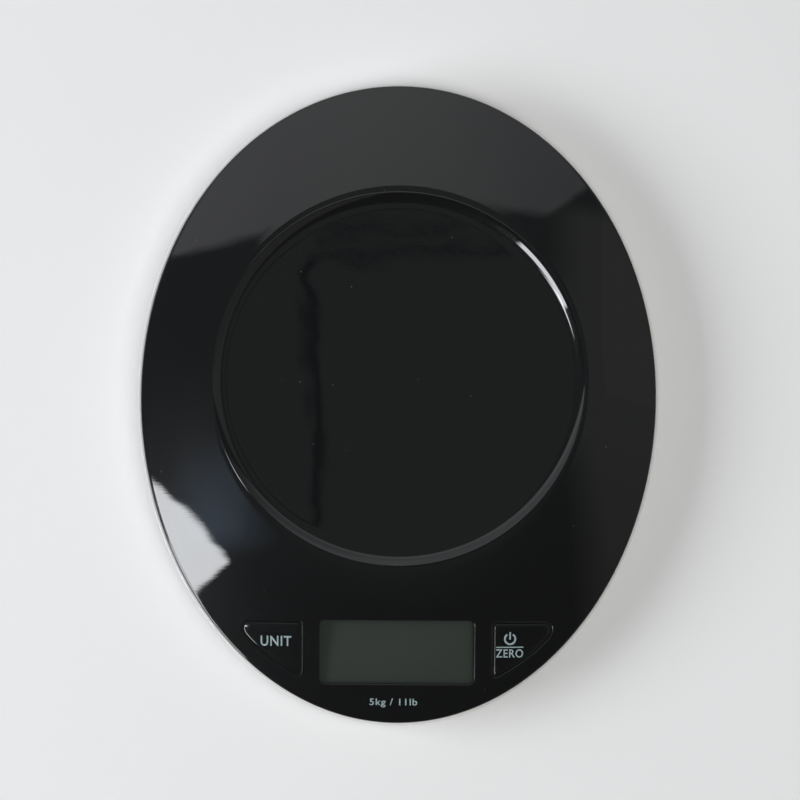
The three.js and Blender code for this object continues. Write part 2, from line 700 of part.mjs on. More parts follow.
function foot(x, y) {
  const top = FOOT_HEIGHT + FOOT_SUNK;
  const profile = [
    [0, 0], [FOOT_RADIUS - 0.8, 0], [FOOT_RADIUS - 0.2, 0.3], [FOOT_RADIUS, 0.9],
    [FOOT_RADIUS, top], [0, top],
  ];
  return turned(profile, x, y, 0);
}

function batteryDoor() {
  const z0 = FOOT_HEIGHT;
  const plate = block(
    BAY_X - DOOR_HALF_WIDTH, BAY_X + DOOR_HALF_WIDTH, DOOR_FRONT, DOOR_BACK, z0, z0 + DOOR_THICK,
  );
  const tabs = TAB_PLACES.map((x) => block(
    x - TAB_WIDTH / 2, x + TAB_WIDTH / 2,
    DOOR_BACK - 0.5, DOOR_BACK + TAB_LENGTH,
    z0 + DOOR_THICK - TAB_THICK, z0 + DOOR_THICK,
  ));
  const flexCuts = [-1, 1].map((side) => block(
    BAY_X + side * 5 - 0.4, BAY_X + side * 5 + 0.4, DOOR_FRONT - 1, DOOR_FRONT + 9, z0 - 1, z0 + 3,
  ));
  const gripY = DOOR_FRONT + 14;
  const grips = [0, 2.5, 5].map((step) => block(
    BAY_X - 6, BAY_X + 6, gripY + step, gripY + step + 1, z0 - 1, z0 + 0.5,
  ));
  return cut(add(plate, ...tabs), ...flexCuts, ...grips);
}

// ---------- batteries and contacts ----------
const PLUS_FACE = CONTACT_THICK + BUMP_HEIGHT + 0.05;
const MINUS_FACE = CONTACT_THICK + SPRING_LENGTH + 0.05;

// way is +1 when the positive end points to the front
function battery(x, way) {
  const [r, n] = [CELL_AAA_RADIUS, CELL_AAA_LENGTH];
  const profile = [
    [0, 0], [r - 0.5, 0], [r, 0.5], [r, n - 0.5], [r - 0.5, n],
    [NUB_RADIUS, n], [NUB_RADIUS, n + NUB_LENGTH], [0, n + NUB_LENGTH],
  ];
  const geometry = new THREE.LatheGeometry(profile.map(([a, b]) => new THREE.Vector2(a, b)), 20);
  if (way > 0) geometry.rotateX(Math.PI);
  const tip = way > 0 ? BAY_FRONT + PLUS_FACE + n + NUB_LENGTH : BAY_FRONT + MINUS_FACE;
  geometry.translate(x, tip, BATTERY_Z);
  return solidOf(geometry);
}

class Coil extends THREE.Curve {
  constructor(x, y, way) {
    super();
    Object.assign(this, { x, y, way });
  }

  getPoint(t, target = new THREE.Vector3()) {
    const angle = 2 * Math.PI * SPRING_TURNS * t;
    const radius = 3.6 - 1.4 * t;
    const along = this.way * (SPRING_LENGTH - 1.5 * SPRING_WIRE) * t;
    const x = this.x + radius * Math.cos(angle);
    return target.set(x, this.y + along, BATTERY_Z + radius * Math.sin(angle));
  }
}

function sweep(path, radius, sides, steps) {
  const section = new THREE.Shape();
  for (let i = 0; i < sides; i += 1) {
    const angle = 2 * Math.PI * i / sides;
    const point = [radius * Math.cos(angle), radius * Math.sin(angle)];
    if (i === 0) section.moveTo(...point);
    else section.lineTo(...point);
  }
  return solidOf(new THREE.ExtrudeGeometry(section, { steps, extrudePath: path, bevelEnabled: false }));
}

function contactPlate(x0, x1, y, way) {
  const [y0, y1] = way > 0 ? [y, y + CONTACT_THICK] : [y - CONTACT_THICK, y];
  return block(x0, x1, y0, y1, BATTERY_Z - 4, BATTERY_Z + 4);
}

function spring(x, face, way) {
  return sweep(new Coil(x, face + way * (CONTACT_THICK - 0.1), way), SPRING_WIRE, 6, 12 * SPRING_TURNS);
}

function bump(x, face, way) {
  const geometry = new THREE.CylinderGeometry(1.6, 2.2, BUMP_HEIGHT + 0.1, 16);
  if (way < 0) geometry.rotateX(Math.PI);
  geometry.translate(x, face + way * (CONTACT_THICK - 0.1 + (BUMP_HEIGHT + 0.1) / 2), BATTERY_Z);
  return solidOf(geometry);
}

function tag(x) {
  return block(x - 2, x + 2, BAY_FRONT + 0.05, BAY_FRONT + 0.05 + CONTACT_THICK, BATTERY_Z, BAY_TOP + 3.4);
}

function positiveContact() {
  const [x, face] = [BATTERY_X[0], BAY_FRONT + 0.05];
  return add(contactPlate(x - 4.5, x + 4.5, face, 1), bump(x, face, 1), tag(x));
}

function negativeContact() {
  const [x, face] = [BATTERY_X[1], BAY_FRONT + 0.05];
  return add(contactPlate(x - 4.5, x + 4.5, face, 1), spring(x, face, 1), tag(x));
}

function bridgeContact() {
  const face = BAY_BACK - 0.05;
  const plate = contactPlate(BATTERY_X[0] - 4.5, BATTERY_X[1] + 4.5, face, -1);
  return add(plate, spring(BATTERY_X[0], face, -1), bump(BATTERY_X[1], face, -1));
}

// ---------- wires ----------
function wire(points) {
  const path = new THREE.CatmullRomCurve3(points.map((point) => new THREE.Vector3(...point)));
  return sweep(path, WIRE_RADIUS, 6, 18);
}

function batteryWire(x, landing) {
  const start = BAY_FRONT - WIRE_RADIUS - WIRE_CLEAR;
  return wire([
    [x, start, BAY_TOP + 2.8],
    [x - 1, start - 6, BAY_TOP + 1],
    [(x + landing) / 2, (start + KEY_TOP) / 2, BASE_FLOOR + 4],
    [landing, KEY_TOP + 12, BASE_FLOOR + 4],
    [landing, KEY_TOP + 7, BOARD_Z - 3],
    [landing, KEY_TOP + 6.5, BOARD_Z - WIRE_CLEAR],
  ]);
}

function cellWire(order) {
  const side = CELL_WIDTH / 2 + WIRE_RADIUS + WIRE_CLEAR;
  const landing = -5 + 2.6 * order;
  return wire([
    [side, CELL_Y + 3 - 2 * order, CELL_Z + 9 - 2 * order],
    [side + 0.6, CELL_Y - 8 - 2 * order, CELL_Z + 8 - 2 * order],
    [side + 0.6, CELL_FRONT + 6, CELL_Z + 7.4 - 2 * order],
    [side + 0.8, CELL_FRONT - 4, CELL_Z + 7 - 2 * order],
    [landing + 1, CELL_FRONT - 25, CELL_Z + 2],
    [landing, KEY_TOP + 9, CELL_Z + 3],
    [landing, KEY_TOP + 6.5, BOARD_Z - WIRE_CLEAR],
  ]);
}

// ---------- the scale ----------
const scale = new THREE.Group();

function place(name, solid, material) {
  const mesh = new THREE.Mesh(geometryOf(solid), material);
  mesh.name = name;
  scale.add(mesh);
}

place('base_shell', baseShell(), WHITE_PLASTIC);
FOOT_PLACES.forEach(([name, x, y]) => place(name, foot(x, y), RUBBER));
place('battery_door', batteryDoor(), WHITE_PLASTIC);
place('battery_left', battery(BATTERY_X[0], 1), BATTERY_WRAP);
place('battery_right', battery(BATTERY_X[1], -1), BATTERY_WRAP);
place('positive_contact', positiveContact(), NICKEL);
place('negative_contact', negativeContact(), NICKEL);
place('bridge_contact', bridgeContact(), NICKEL);

place('load_cell', loadCell(), ALUMINIUM);
place('gauge_coating_top', gaugeCoating(CELL_TOP), RESIN_WHITE);
place('gauge_coating_bottom', gaugeCoating(CELL_Z - COATING), RESIN_WHITE);
place('base_spacer', spacer(BASE_SCREWS, CELL_Z - SPACER_THICK), ALUMINIUM);
place('platform_spacer', spacer(TOP_SCREWS, CELL_TOP), ALUMINIUM);
BASE_SCREWS.forEach((y, i) => {
  const solid = screw(M4, M4_HEAD, 1.8, 10, 0, y, FOOT_HEIGHT + 2);
  place(`cell_screw_base_${i + 1}`, solid, STEEL);
});
TOP_SCREWS.forEach((y, i) => {
  const solid = screwDown(M4, M4_HEAD, 2.4, 10, 0, y, PLATE_TOP);
  place(`cell_screw_top_${i + 1}`, solid, STEEL);
});
place('load_plate', loadPlate(), STEEL);
BOSS_PLACES.forEach(([x, y], i) => {
  const length = DISH_UNDER - 1 - PLATE_Z;
  place(`plate_screw_${i + 1}`, screw(PLATE_SCREW, 3, 1.8, length, x, y, PLATE_Z), STEEL);
});

place('top_cover', topCover(), BLACK_GLOSS);
place('display_window', displayWindow(), CLEAR);
place('lcd_panel', lcdPanel(), LCD_GLASS);
place('lcd_frame', lcdFrame(), WHITE_MATTE);
place('zebra_front', zebra(-1), GREY_RUBBER);
place('zebra_back', zebra(1), GREY_RUBBER);
place('main_board', mainBoard(), BOARD_GREEN);
place('processor_blob', processorBlob(), EPOXY);
place('crystal', crystal(), NICKEL);
place('capacitor', capacitor(), EPOXY);
POST_PLACES.forEach(([x, y], i) => {
  const solid = screw(BOARD_SCREW, 2.2, 1.4, BOARD_THICK + 4.5, x, y, BOARD_Z);
  place(`board_screw_${i + 1}`, solid, STEEL);
});
[['unit', -1], ['power', 1]].forEach(([name, side]) => {
  place(`${name}_key`, key(side), BLACK_GLOSS);
  place(`${name}_switch`, switchBody(side), EPOXY);
  place(`${name}_plunger`, switchPlunger(side), WHITE_MATTE);
});

place('battery_wire_red', batteryWire(BATTERY_X[0], 14), paint(WIRE_COLOURS.red, 0.5));
place('battery_wire_black', batteryWire(BATTERY_X[1], 18), paint(WIRE_COLOURS.black, 0.5));
Object.entries(WIRE_COLOURS).forEach(([name, colour], order) => {
  place(`cell_wire_${name}`, cellWire(order), paint(colour, 0.5));
});

export default scale;
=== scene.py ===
"""Looks of the electronic kitchen scale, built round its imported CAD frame.

Lengths are written in millimetres and turned into metres when a mesh is made.
"""

import math

import bmesh
import bpy
import numpy as np
from mathutils import Matrix, Vector
from mathutils.bvhtree import BVHTree
from mathutils.interpolate import poly_3d_calc


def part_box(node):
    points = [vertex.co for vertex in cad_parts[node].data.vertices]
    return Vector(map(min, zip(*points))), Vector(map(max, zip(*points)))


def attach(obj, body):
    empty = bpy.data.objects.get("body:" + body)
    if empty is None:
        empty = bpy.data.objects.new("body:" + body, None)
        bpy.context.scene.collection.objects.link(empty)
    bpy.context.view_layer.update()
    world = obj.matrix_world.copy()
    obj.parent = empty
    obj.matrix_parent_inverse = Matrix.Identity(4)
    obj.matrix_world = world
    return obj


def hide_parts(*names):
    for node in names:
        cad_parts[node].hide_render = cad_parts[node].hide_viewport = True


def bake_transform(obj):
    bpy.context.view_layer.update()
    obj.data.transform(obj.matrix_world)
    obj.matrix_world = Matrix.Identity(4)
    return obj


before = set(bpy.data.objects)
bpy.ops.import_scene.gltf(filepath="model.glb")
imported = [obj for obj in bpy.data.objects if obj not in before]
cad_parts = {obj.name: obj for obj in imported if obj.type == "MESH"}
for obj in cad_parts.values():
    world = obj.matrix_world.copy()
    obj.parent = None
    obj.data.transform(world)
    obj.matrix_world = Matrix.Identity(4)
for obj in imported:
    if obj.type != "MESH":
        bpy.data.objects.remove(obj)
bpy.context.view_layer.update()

MM = 0.001


def node_box(name):
    """The lowest and highest corners of a CAD node, in millimetres."""
    low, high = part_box(name)
    return np.array(low) / MM, np.array(high) / MM


def centre_of(name):
    return sum(node_box(name)) / 2


# ---- sizes
COVER_LOW, COVER_HIGH = node_box("top_cover")
BASE_LOW, BASE_HIGH = node_box("base_shell")
PANE_LOW, PANE_HIGH = node_box("display_window")
LCD_LOW, LCD_HIGH = node_box("lcd_panel")
DOOR_LOW, DOOR_HIGH = node_box("battery_door")

# plan outline of the cover: an egg, wider towards the back
HALF_WIDTH = COVER_HIGH[0]
HALF_LENGTH = COVER_HIGH[1]
EGG = 0.0435

# cover
CREST_Z = COVER_HIGH[2]
DOME_RISE = 7
DOME_STRAIGHT = 0.8
SKIRT_BOTTOM = COVER_LOW[2]
SKIRT_INSIDE = 8
COVER_WALL = 2.2
EDGE_ROUND = 0.8
SMALL_BEVEL = 0.2
CENTRE_RING = 0.5
CREST_ROUND = 0.3
# how far outside the recess's edge, and how far below the crest
CREST_LIP = [
    (0.62, 0.088), (0.42, 0.08), (0.3, 0.06), (0.16, 0.014), (0.04, 0.004), (-0.08, 0.006), (-0.2, 0.035),
]
DISH_RADIUS = 67.9
DISH_Y = 9.2
DISH_DEPTH = 1.9
DISH_WALL_RUN = 4.6
DISH_FLOOR = CREST_Z - DISH_DEPTH
DISH_UNDER = DISH_FLOOR - COVER_WALL
POST_RADIUS = 2
BOSS_RADIUS = 4

# display opening and corner keys
VIEW_SIZE = (56.4, 23.4)
VIEW_CORNER = 1.8
VIEW_Y = (PANE_LOW[1] + PANE_HIGH[1]) / 2
OPENING_ROUND = 0.35
PANE_MARGIN = 3
PANE_PLAY = 0.4
KEY_INNER = 35.5
KEY_OUTER = 56.4
KEY_TOP = -79.7
KEY_BOTTOM = -100.1
KEY_BULGE = 3
KEY_CORNER = 2.4
KEY_TIGHT_CORNER = 1
KEY_GAP = 0.8
KEY_SUNK = 0.35
KEY_WALL = 1.6
KEY_LIP = 0.8
KEY_ROUND = 0.45
KEY_STEM = 2.2
PRINT_HALF = 0.04
PRINT_STEP = 1.2
LETTER_WEIGHT = 0.015
LETTER_SPACING = 1.12

# base tray
FOOT_HEIGHT = BASE_LOW[2]
BASE_TOP = BASE_HIGH[2]
RIM_OUT = BASE_HIGH[1] - HALF_LENGTH - 0.03
RIM_GAP = 0.45
RIM_ROUND = 0.35
RIM_HEIGHT = 4
BASE_WALL = 2.2
BASE_INSET = 12
LEDGE_DROP = 0.8
FLAT_RING = 40
BASE_FLOOR = FOOT_HEIGHT + BASE_WALL
BASE_SCREWS = ("cell_screw_base_1", "cell_screw_base_2")
TOP_SCREWS = ("cell_screw_top_1", "cell_screw_top_2")
FEET = ("foot_front_left", "foot_front_right", "foot_back_left", "foot_back_right")

# battery bay, load cell and screws
BAY_X = (DOOR_LOW[0] + DOOR_HIGH[0]) / 2
BAY_WIDTH = 24
BAY_FRONT = node_box("positive_contact")[0][1] - 0.05
BAY_BACK = node_box("bridge_contact")[1][1] + 0.05
BAY_TOP = node_box("battery_left")[1][2] + 0.6
TAB_LENGTH = 2.2
TAB_PLACES = (BAY_X - BAY_WIDTH / 4, BAY_X + BAY_WIDTH / 4)
CELL_HOLE = 4.5
CELL_HOLE_HALF_PITCH = 7.5
CELL_SLOT = 2.25
CELL_BEND = 11
SCREW_HEAD = 1.8
SCREW_SHANK = 1.95
SCREW_HOLE = 2.05
WIRE_RADIUS = 0.6

# ---- mesh tools


def new_object(name, points, faces, sharp=35):
    """A mesh object from points in millimetres."""
    mesh = bpy.data.meshes.new(name)
    mesh.from_pydata((np.asarray(points, float) * MM).tolist(), [], faces)
    mesh.validate()
    work = bmesh.new()
    work.from_mesh(mesh)
    bmesh.ops.recalc_face_normals(work, faces=work.faces)
    work.to_mesh(mesh)
    work.free()
    obj = bpy.data.objects.new(name, mesh)
    bpy.context.scene.collection.objects.link(obj)
    shade(obj, sharp)
    return obj


def shade(obj, sharp=35):
    obj.data.polygons.foreach_set("use_smooth", [True] * len(obj.data.polygons))
    obj.data.set_sharp_from_angle(angle=math.radians(sharp))


def apply_modifiers(obj):
    bpy.context.view_layer.update()
    settled = obj.evaluated_get(bpy.context.evaluated_depsgraph_get())
    mesh = bpy.data.meshes.new_from_object(settled)
    obj.modifiers.clear()
    old = obj.data
    obj.data = mesh
    bpy.data.meshes.remove(old)


def combine(obj, others, operation):
    """Joins or cuts obj with other objects, which are then removed."""
    tool = merge(others)
    boolean = obj.modifiers.new("cut", "BOOLEAN")
    boolean.operation = operation
    boolean.solver = "EXACT"
    boolean.object = tool
    apply_modifiers(obj)
    bpy.data.objects.remove(tool)


def join_each(obj, pieces):
    for piece in pieces:
        combine(obj, [piece], "UNION")


def cut_each(obj, pieces):
    for piece in pieces:
        combine(obj, [piece], "DIFFERENCE")


def twin(source, name):
    """A copy of an object with a mesh of its own."""
    made = source.copy()
    made.data = source.data.copy()
    made.name = name
    bpy.context.scene.collection.objects.link(made)
    return made


def merge(objects):
    """One object from several that don't touch."""
    work = bmesh.new()
    for obj in objects:
        work.from_mesh(obj.data)
    first = objects[0]
    work.to_mesh(first.data)
    work.free()
    for obj in objects[1:]:
        bpy.data.objects.remove(obj)
    return first


def bevel(obj, width, segments=2):
    modifier = obj.modifiers.new("bevel", "BEVEL")
    modifier.width = width * MM
    modifier.segments = segments
    modifier.limit_method = "ANGLE"
    modifier.angle_limit = math.radians(40)
    modifier.use_clamp_overlap = True
    apply_modifiers(obj)
    shade(obj)
    return obj


def walls(rows, count):
    """The faces between rings of points, each ring above the one before."""
    faces = []
    for low in range(0, (rows - 1) * count, count):
        for i in range(count):
            j = (i + 1) % count
            faces.append([low + i, low + j, low + count + j, low + count + i])
    return faces


def stack(name, rings, sharp=35):
    """A closed solid from rings of equal point counts, one above the other."""
    count = len(rings[0])
    faces = walls(len(rings), count)
    faces.append(list(range(count))[::-1])
    faces.append([(len(rings) - 1) * count + i for i in range(count)])
    return new_object(name, np.vstack(rings), faces, sharp)


def level(outline, z):
    return np.column_stack([outline, np.broadcast_to(z, len(outline))])


def prism(name, outline, z0, z1):
    return stack(name, [level(outline, z0), level(outline, z1)])


def box(name, low, high):
    (x0, y0, z0), (x1, y1, z1) = low, high
    return prism(name, [(x0, y0), (x1, y0), (x1, y1), (x0, y1)], z0, z1)


def circle(radius, x, y, count):
    angles = np.arange(count) * 2 * math.pi / count
    return np.column_stack([x + radius * np.cos(angles), y + radius * np.sin(angles)])


def rod(name, radius, x, y, z0, z1, count):
    return prism(name, circle(radius, x, y, count), z0, z1)


def rounded_box(size, corner, centre=(0, 0), count=8):
    """A rectangle with round corners, counter-clockwise."""
    points = []
    for quarter, (sx, sy) in enumerate(((1, 1), (-1, 1), (-1, -1), (1, -1))):
        x = centre[0] + sx * (size[0] / 2 - corner)
        y = centre[1] + sy * (size[1] / 2 - corner)
        for i in range(count + 1):
            angle = (quarter + i / count) * math.pi / 2
            points.append((x + corner * math.cos(angle), y + corner * math.sin(angle)))
    return np.array(points)


def turned(name, profile, x, y, z, count, sharp):
    """A solid of revolution about a vertical line, its profile starting and ending on the axis."""
    inner = profile[1:-1]
    rings = [level(circle(r, x, y, count), z + h) for r, h in inner]
    points = np.vstack(rings + [[(x, y, z + profile[0][1])], [(x, y, z + profile[-1][1])]])
    faces = walls(len(inner), count)
    last = len(points) - 1
    top = (len(inner) - 1) * count
    for i in range(count):
        j = (i + 1) % count
        faces.append([last - 1, j, i])
        faces.append([last, top + i, top + j])
    return new_object(name, points, faces, sharp)


def quarter_turn(count):
    """The sine, and one less the cosine, of angles over a quarter turn."""
    return [(math.sin(a), 1 - math.cos(a)) for a in np.linspace(0, math.pi / 2, count)]


def offset_outline(outline, amount):
    """Moves a counter-clockwise outline outwards along its own normals."""
    before = np.roll(outline, 1, axis=0)
    after = np.roll(outline, -1, axis=0)
    along = after - before
    normal = np.column_stack([along[:, 1], -along[:, 0]])
    normal /= np.linalg.norm(normal, axis=1)[:, None]
    return outline + normal * amount


def even_outline(points, count):
    """The same closed outline with evenly spaced points."""
    closed = np.vstack([points, points[:1]])
    steps = np.linalg.norm(np.diff(closed, axis=0), axis=1)
    along = np.concatenate([[0], np.cumsum(steps)])
    places = np.arange(count) * along[-1] / count
    return np.column_stack([np.interp(places, along, closed[:, i]) for i in (0, 1)])


def carry_normals(obj, source):
    """Gives the faces that obj kept from source their old smooth normals."""
    mesh = source.data
    corners = [list(p.vertices) for p in mesh.polygons]
    places = [v.co.copy() for v in mesh.vertices]
    tree = BVHTree.FromPolygons(places, corners)
    old = [n.vector.copy() for n in mesh.corner_normals]
    starts = [p.loop_start for p in mesh.polygons]
    target = obj.data
    normals = [n.vector.copy() for n in target.corner_normals]
    for face in target.polygons:
        centre = face.center
        for loop in face.loop_indices:
            corner = target.vertices[target.loops[loop].vertex_index].co
            near = corner.lerp(centre, 0.02)
            place, normal, index, gap = tree.find_nearest(near)
            if gap > 0.01 * MM or normal.dot(face.normal) < 0.97:
                continue
            shares = poly_3d_calc([places[i] for i in corners[index]], place)
            mixed = sum((old[starts[index] + k] * w for k, w in enumerate(shares)), Vector())
            if mixed.length > 0.5:
                normals[loop] = mixed.normalized()
    target.normals_split_custom_set(normals)


def settle(obj, blank, sharp):
    """Shades a finished solid with the smooth normals of its blank, and removes the blank."""
    shade(obj, sharp)
    carry_normals(obj, blank)
    bpy.data.objects.remove(blank)
    return obj


# ---- the egg-shaped dome


def spokes(count):
    """Directions and lengths from the recess's centre to the cover's outline."""
    turn = np.arange(count) * 2 * math.pi / count
    swell = np.sqrt(1 - EGG * np.sin(turn))
    x = HALF_WIDTH * np.cos(turn) / swell
    y = HALF_LENGTH * np.sin(turn)
    slope_x = -HALF_WIDTH * np.sin(turn) / swell + HALF_WIDTH * EGG * np.cos(turn) ** 2 / (2 * swell ** 3)
    slope_y = HALF_LENGTH * np.cos(turn)
    reach = np.hypot(x, y - DISH_Y)
    dx, dy = x / reach, (y - DISH_Y) / reach
    lean = (dx * slope_y - dy * slope_x) / np.hypot(slope_x, slope_y)
    return dx, dy, reach, lean


def outline_reach(dx, dy):
    """How far the cover's outline is from the recess's centre, in any direction."""
    reach = np.full(np.shape(dx), 100.0)
    for _ in range(12):
        x, y = dx * reach, DISH_Y + dy * reach
        swell = 1 - EGG * y / HALF_LENGTH
        error = (x / HALF_WIDTH) ** 2 * swell + (y / HALF_LENGTH) ** 2 - 1
        slope = 2 * x * dx / HALF_WIDTH ** 2 * swell + 2 * y * dy / HALF_LENGTH ** 2
        slope = slope - (x / HALF_WIDTH) ** 2 * EGG * dy / HALF_LENGTH
        reach = reach - error / slope
    return reach


def dome_drop(share):
    return DOME_RISE * (DOME_STRAIGHT * share + (1 - DOME_STRAIGHT) * share ** 2)


def dome_height(points):
    """Height of the dome's surface over each (x, y), carried on past its edges."""
    points = np.atleast_2d(points)
    far = np.hypot(points[:, 0], points[:, 1] - DISH_Y)
    dx, dy = points[:, 0] / far, (points[:, 1] - DISH_Y) / far
    share = (far - DISH_RADIUS) / (outline_reach(dx, dy) - DISH_RADIUS)
    return CREST_Z - dome_drop(share)


def under_dome(name, outline, bottom, depth):
    """A solid from a flat bottom up to some depth under the dome's surface."""
    return stack(name, [level(outline, bottom), level(outline, dome_height(outline) - depth)])


def loft(name, stations, count):
    """A closed solid of egg-shaped rings. A station gives distances and heights for all spokes."""
    dx, dy, reach, lean = spokes(count)
    rings = []
    for station in stations:
        distance, z, _ = np.broadcast_arrays(*station(reach, lean), reach)
        rings.append(np.column_stack([dx * distance, DISH_Y + dy * distance, z]))
    return stack(name, rings)


def inset(amount, z):
    return lambda reach, lean: (reach - amount / lean, z)


def ring(distance, z):
    return lambda reach, lean: (distance, z)


def dome(share, edge, lower):
    def station(reach, lean):
        end = reach - edge / lean
        distance = DISH_RADIUS + (end - DISH_RADIUS) * share
        real = (distance - DISH_RADIUS) / (reach - DISH_RADIUS)
        return distance, CREST_Z - dome_drop(real) - lower
    return station


def edge_round(angle):
    def station(reach, lean):
        top = dome(1, EDGE_ROUND, 0)(reach, lean)[1]
        out = EDGE_ROUND * (1 - math.sin(angle)) / lean
        return reach - out, top - EDGE_ROUND * (1 - math.cos(angle))
    return station


def dish_wall(steps):
    """Stations up the recess's concave wall, from the crest down to the floor."""
    half = math.atan(DISH_DEPTH / DISH_WALL_RUN)
    radius = DISH_WALL_RUN / math.sin(2 * half)
    stations = []
    for share in np.linspace(1 - CREST_ROUND / DISH_WALL_RUN, 0, steps):
        angle = 2 * half * share
        distance = DISH_RADIUS - DISH_WALL_RUN + radius * math.sin(angle)
        stations.append(ring(distance, DISH_FLOOR + radius * (1 - math.cos(angle))))
    return stations


# ---- cover and keys


def cover_blank(count):
    shares = np.append(np.linspace(0, 0.975, 14), (0.995, 1))
    under = [dome(s, COVER_WALL + EDGE_ROUND, COVER_WALL) for s in np.linspace(0, 1, 6)]
    crest = [ring(DISH_RADIUS + out, CREST_Z - drop) for out, drop in CREST_LIP]
    return loft("top_cover_shell", [
        ring(CENTRE_RING, DISH_UNDER),
        ring(DISH_RADIUS - DISH_WALL_RUN - 1, DISH_UNDER),
        *under,
        inset(COVER_WALL, SKIRT_BOTTOM + SKIRT_INSIDE),
        inset(COVER_WALL, SKIRT_BOTTOM),
        inset(SMALL_BEVEL, SKIRT_BOTTOM),
        inset(0, SKIRT_BOTTOM + SMALL_BEVEL),
        *[edge_round(a) for a in np.linspace(math.pi / 2, 0, 8)[:-1]],
        *[dome(s, EDGE_ROUND, 0) for s in shares[:0:-1]],
        *crest,
        *dish_wall(12),
        ring(DISH_RADIUS - DISH_WALL_RUN - 2, DISH_FLOOR),
        ring(DISH_RADIUS / 2, DISH_FLOOR),
        ring(CENTRE_RING, DISH_FLOOR),
    ], count)


def key_outline(side, grow):
    """Rounded triangle of a corner key, counter-clockwise; side is -1 on the left."""
    inner, outer = KEY_INNER - grow, KEY_OUTER + grow
    top, bottom = KEY_TOP + grow, KEY_BOTTOM - grow
    wide = max(KEY_CORNER + grow, 1)
    tight = max(KEY_TIGHT_CORNER + grow, 0.4)
    bulge = (KEY_BULGE + grow) * math.sqrt(0.5)
    slant = ((inner + outer) / 2 + bulge, (top + bottom) / 2 - bulge)
    slant_low = (inner + 0.9 * wide, bottom + 0.7 * wide)
    slant_high = (outer - 0.75 * wide, top - 2.1 * wide)
    top_outer = (outer - wide, top)
    curves = [
        [(inner, top - tight), (inner, bottom + 1.6 * wide)],
        [(inner, bottom + 1.6 * wide), (inner, bottom), slant_low],
        [slant_low, slant, slant_high],
        [slant_high, (outer + 0.05 * wide, top - 1.35 * wide), (outer + 0.1 * wide, top), top_outer],
        [top_outer, (inner + tight, top)],
        [(inner + tight, top), (inner, top), (inner, top - tight)],
    ]
    points = [bezier(curve, t) for curve in curves for t in np.linspace(0, 1, 40)[:-1]]
    points = even_outline(np.array(points), 120)
    points[:, 0] *= side
    return points if side > 0 else points[::-1]


def bezier(corners, t):
    corners = np.array(corners, float)
    while len(corners) > 1:
        corners = corners[:-1] * (1 - t) + corners[1:] * t
    return corners[0]


def opening_cutter(name, outline, bottom):
    """Cuts an opening down through the dome and rounds its upper edge over."""
    rings = [level(outline, bottom)]
    for angle in np.radians([0, 25, 50, 70]):
        moved = offset_outline(outline, OPENING_ROUND * (1 - math.cos(angle)))
        rings.append(level(moved, dome_height(moved) - OPENING_ROUND * (1 - math.sin(angle))))
    flared = offset_outline(outline, OPENING_ROUND * (1 - math.cos(angle)) + 1.6)
    rings.append(level(flared, dome_height(flared) + 0.6))
    rings.append(level(flared, CREST_Z + 2))
    return stack(name, rings)


def top_cover():
    blank = cover_blank(288)
    cover = twin(blank, "platform_cover")
    pane_size = np.array((PANE_HIGH[0] * 2, PANE_HIGH[1] - PANE_LOW[1]))
    pad = rounded_box(pane_size + PANE_MARGIN, 2, (0, VIEW_Y))
    grown = [under_dome("pad", pad, PANE_LOW[2], COVER_WALL / 2)]
    for number in (1, 2, 3, 4):
        x, y, _ = centre_of(f"board_screw_{number}")
        board_top = node_box("main_board")[1][2]
        grown.append(under_dome("post", circle(POST_RADIUS, x, y, 24), board_top, COVER_WALL / 2))
    for number in (1, 2, 3, 4):
        x, y, _ = centre_of(f"plate_screw_{number}")
        plate_top = node_box("load_plate")[1][2]
        grown.append(rod("boss", BOSS_RADIUS, x, y, plate_top, DISH_UNDER + 0.5, 24))
    join_each(cover, grown)
    view = even_outline(rounded_box(VIEW_SIZE, VIEW_CORNER, (0, VIEW_Y), 10), 300)
    seat = rounded_box(pane_size + PANE_PLAY, 1.1, (0, VIEW_Y))
    cut_each(cover, [
        opening_cutter("view", view, PANE_HIGH[2] + 0.04),
        opening_cutter("keyway_left", key_outline(-1, KEY_GAP), SKIRT_BOTTOM),
        opening_cutter("keyway_right", key_outline(1, KEY_GAP), SKIRT_BOTTOM),
        prism("seat", seat, PANE_LOW[2] - 1, PANE_HIGH[2] + 0.05),
    ])
    return settle(cover, blank, 30)


def key_cap(name, side):
    """A key whose top follows the dome, hollow from below, with its retaining lip and stem."""
    bottom = node_box(name)[0][2]
    outline = key_outline(side, 0)
    lip = offset_outline(outline, KEY_GAP + KEY_LIP)
    lip_low = bottom + 0.1
    lip_high = lip_low + KEY_LIP
    rings = [level(lip, lip_low), level(lip, lip_high), level(outline, lip_high)]
    for sine, fall in quarter_turn(6):
        edge = offset_outline(outline, -KEY_ROUND * fall)
        rings.append(level(edge, dome_height(edge) - KEY_SUNK - KEY_ROUND * (1 - sine)))
    face = offset_outline(outline, -KEY_ROUND)
    centre = outline.mean(0)
    for share in (0.85, 0.65, 0.45, 0.25, 0.08):
        shrunk = centre + (face - centre) * share
        rings.append(level(shrunk, dome_height(shrunk) - KEY_SUNK))
    cap = stack("cap", rings, sharp=40)
    cut_each(cap, [under_dome("hollow", key_outline(side, -KEY_WALL), bottom - 1, KEY_SUNK + KEY_WALL)])
    x, y, _ = centre_of(name.replace("key", "plunger"))
    join_each(cap, [under_dome("stem", circle(KEY_STEM, x, y, 24), bottom, KEY_SUNK + KEY_WALL / 2)])
    shade(cap, 40)
    return cap


# ---- base


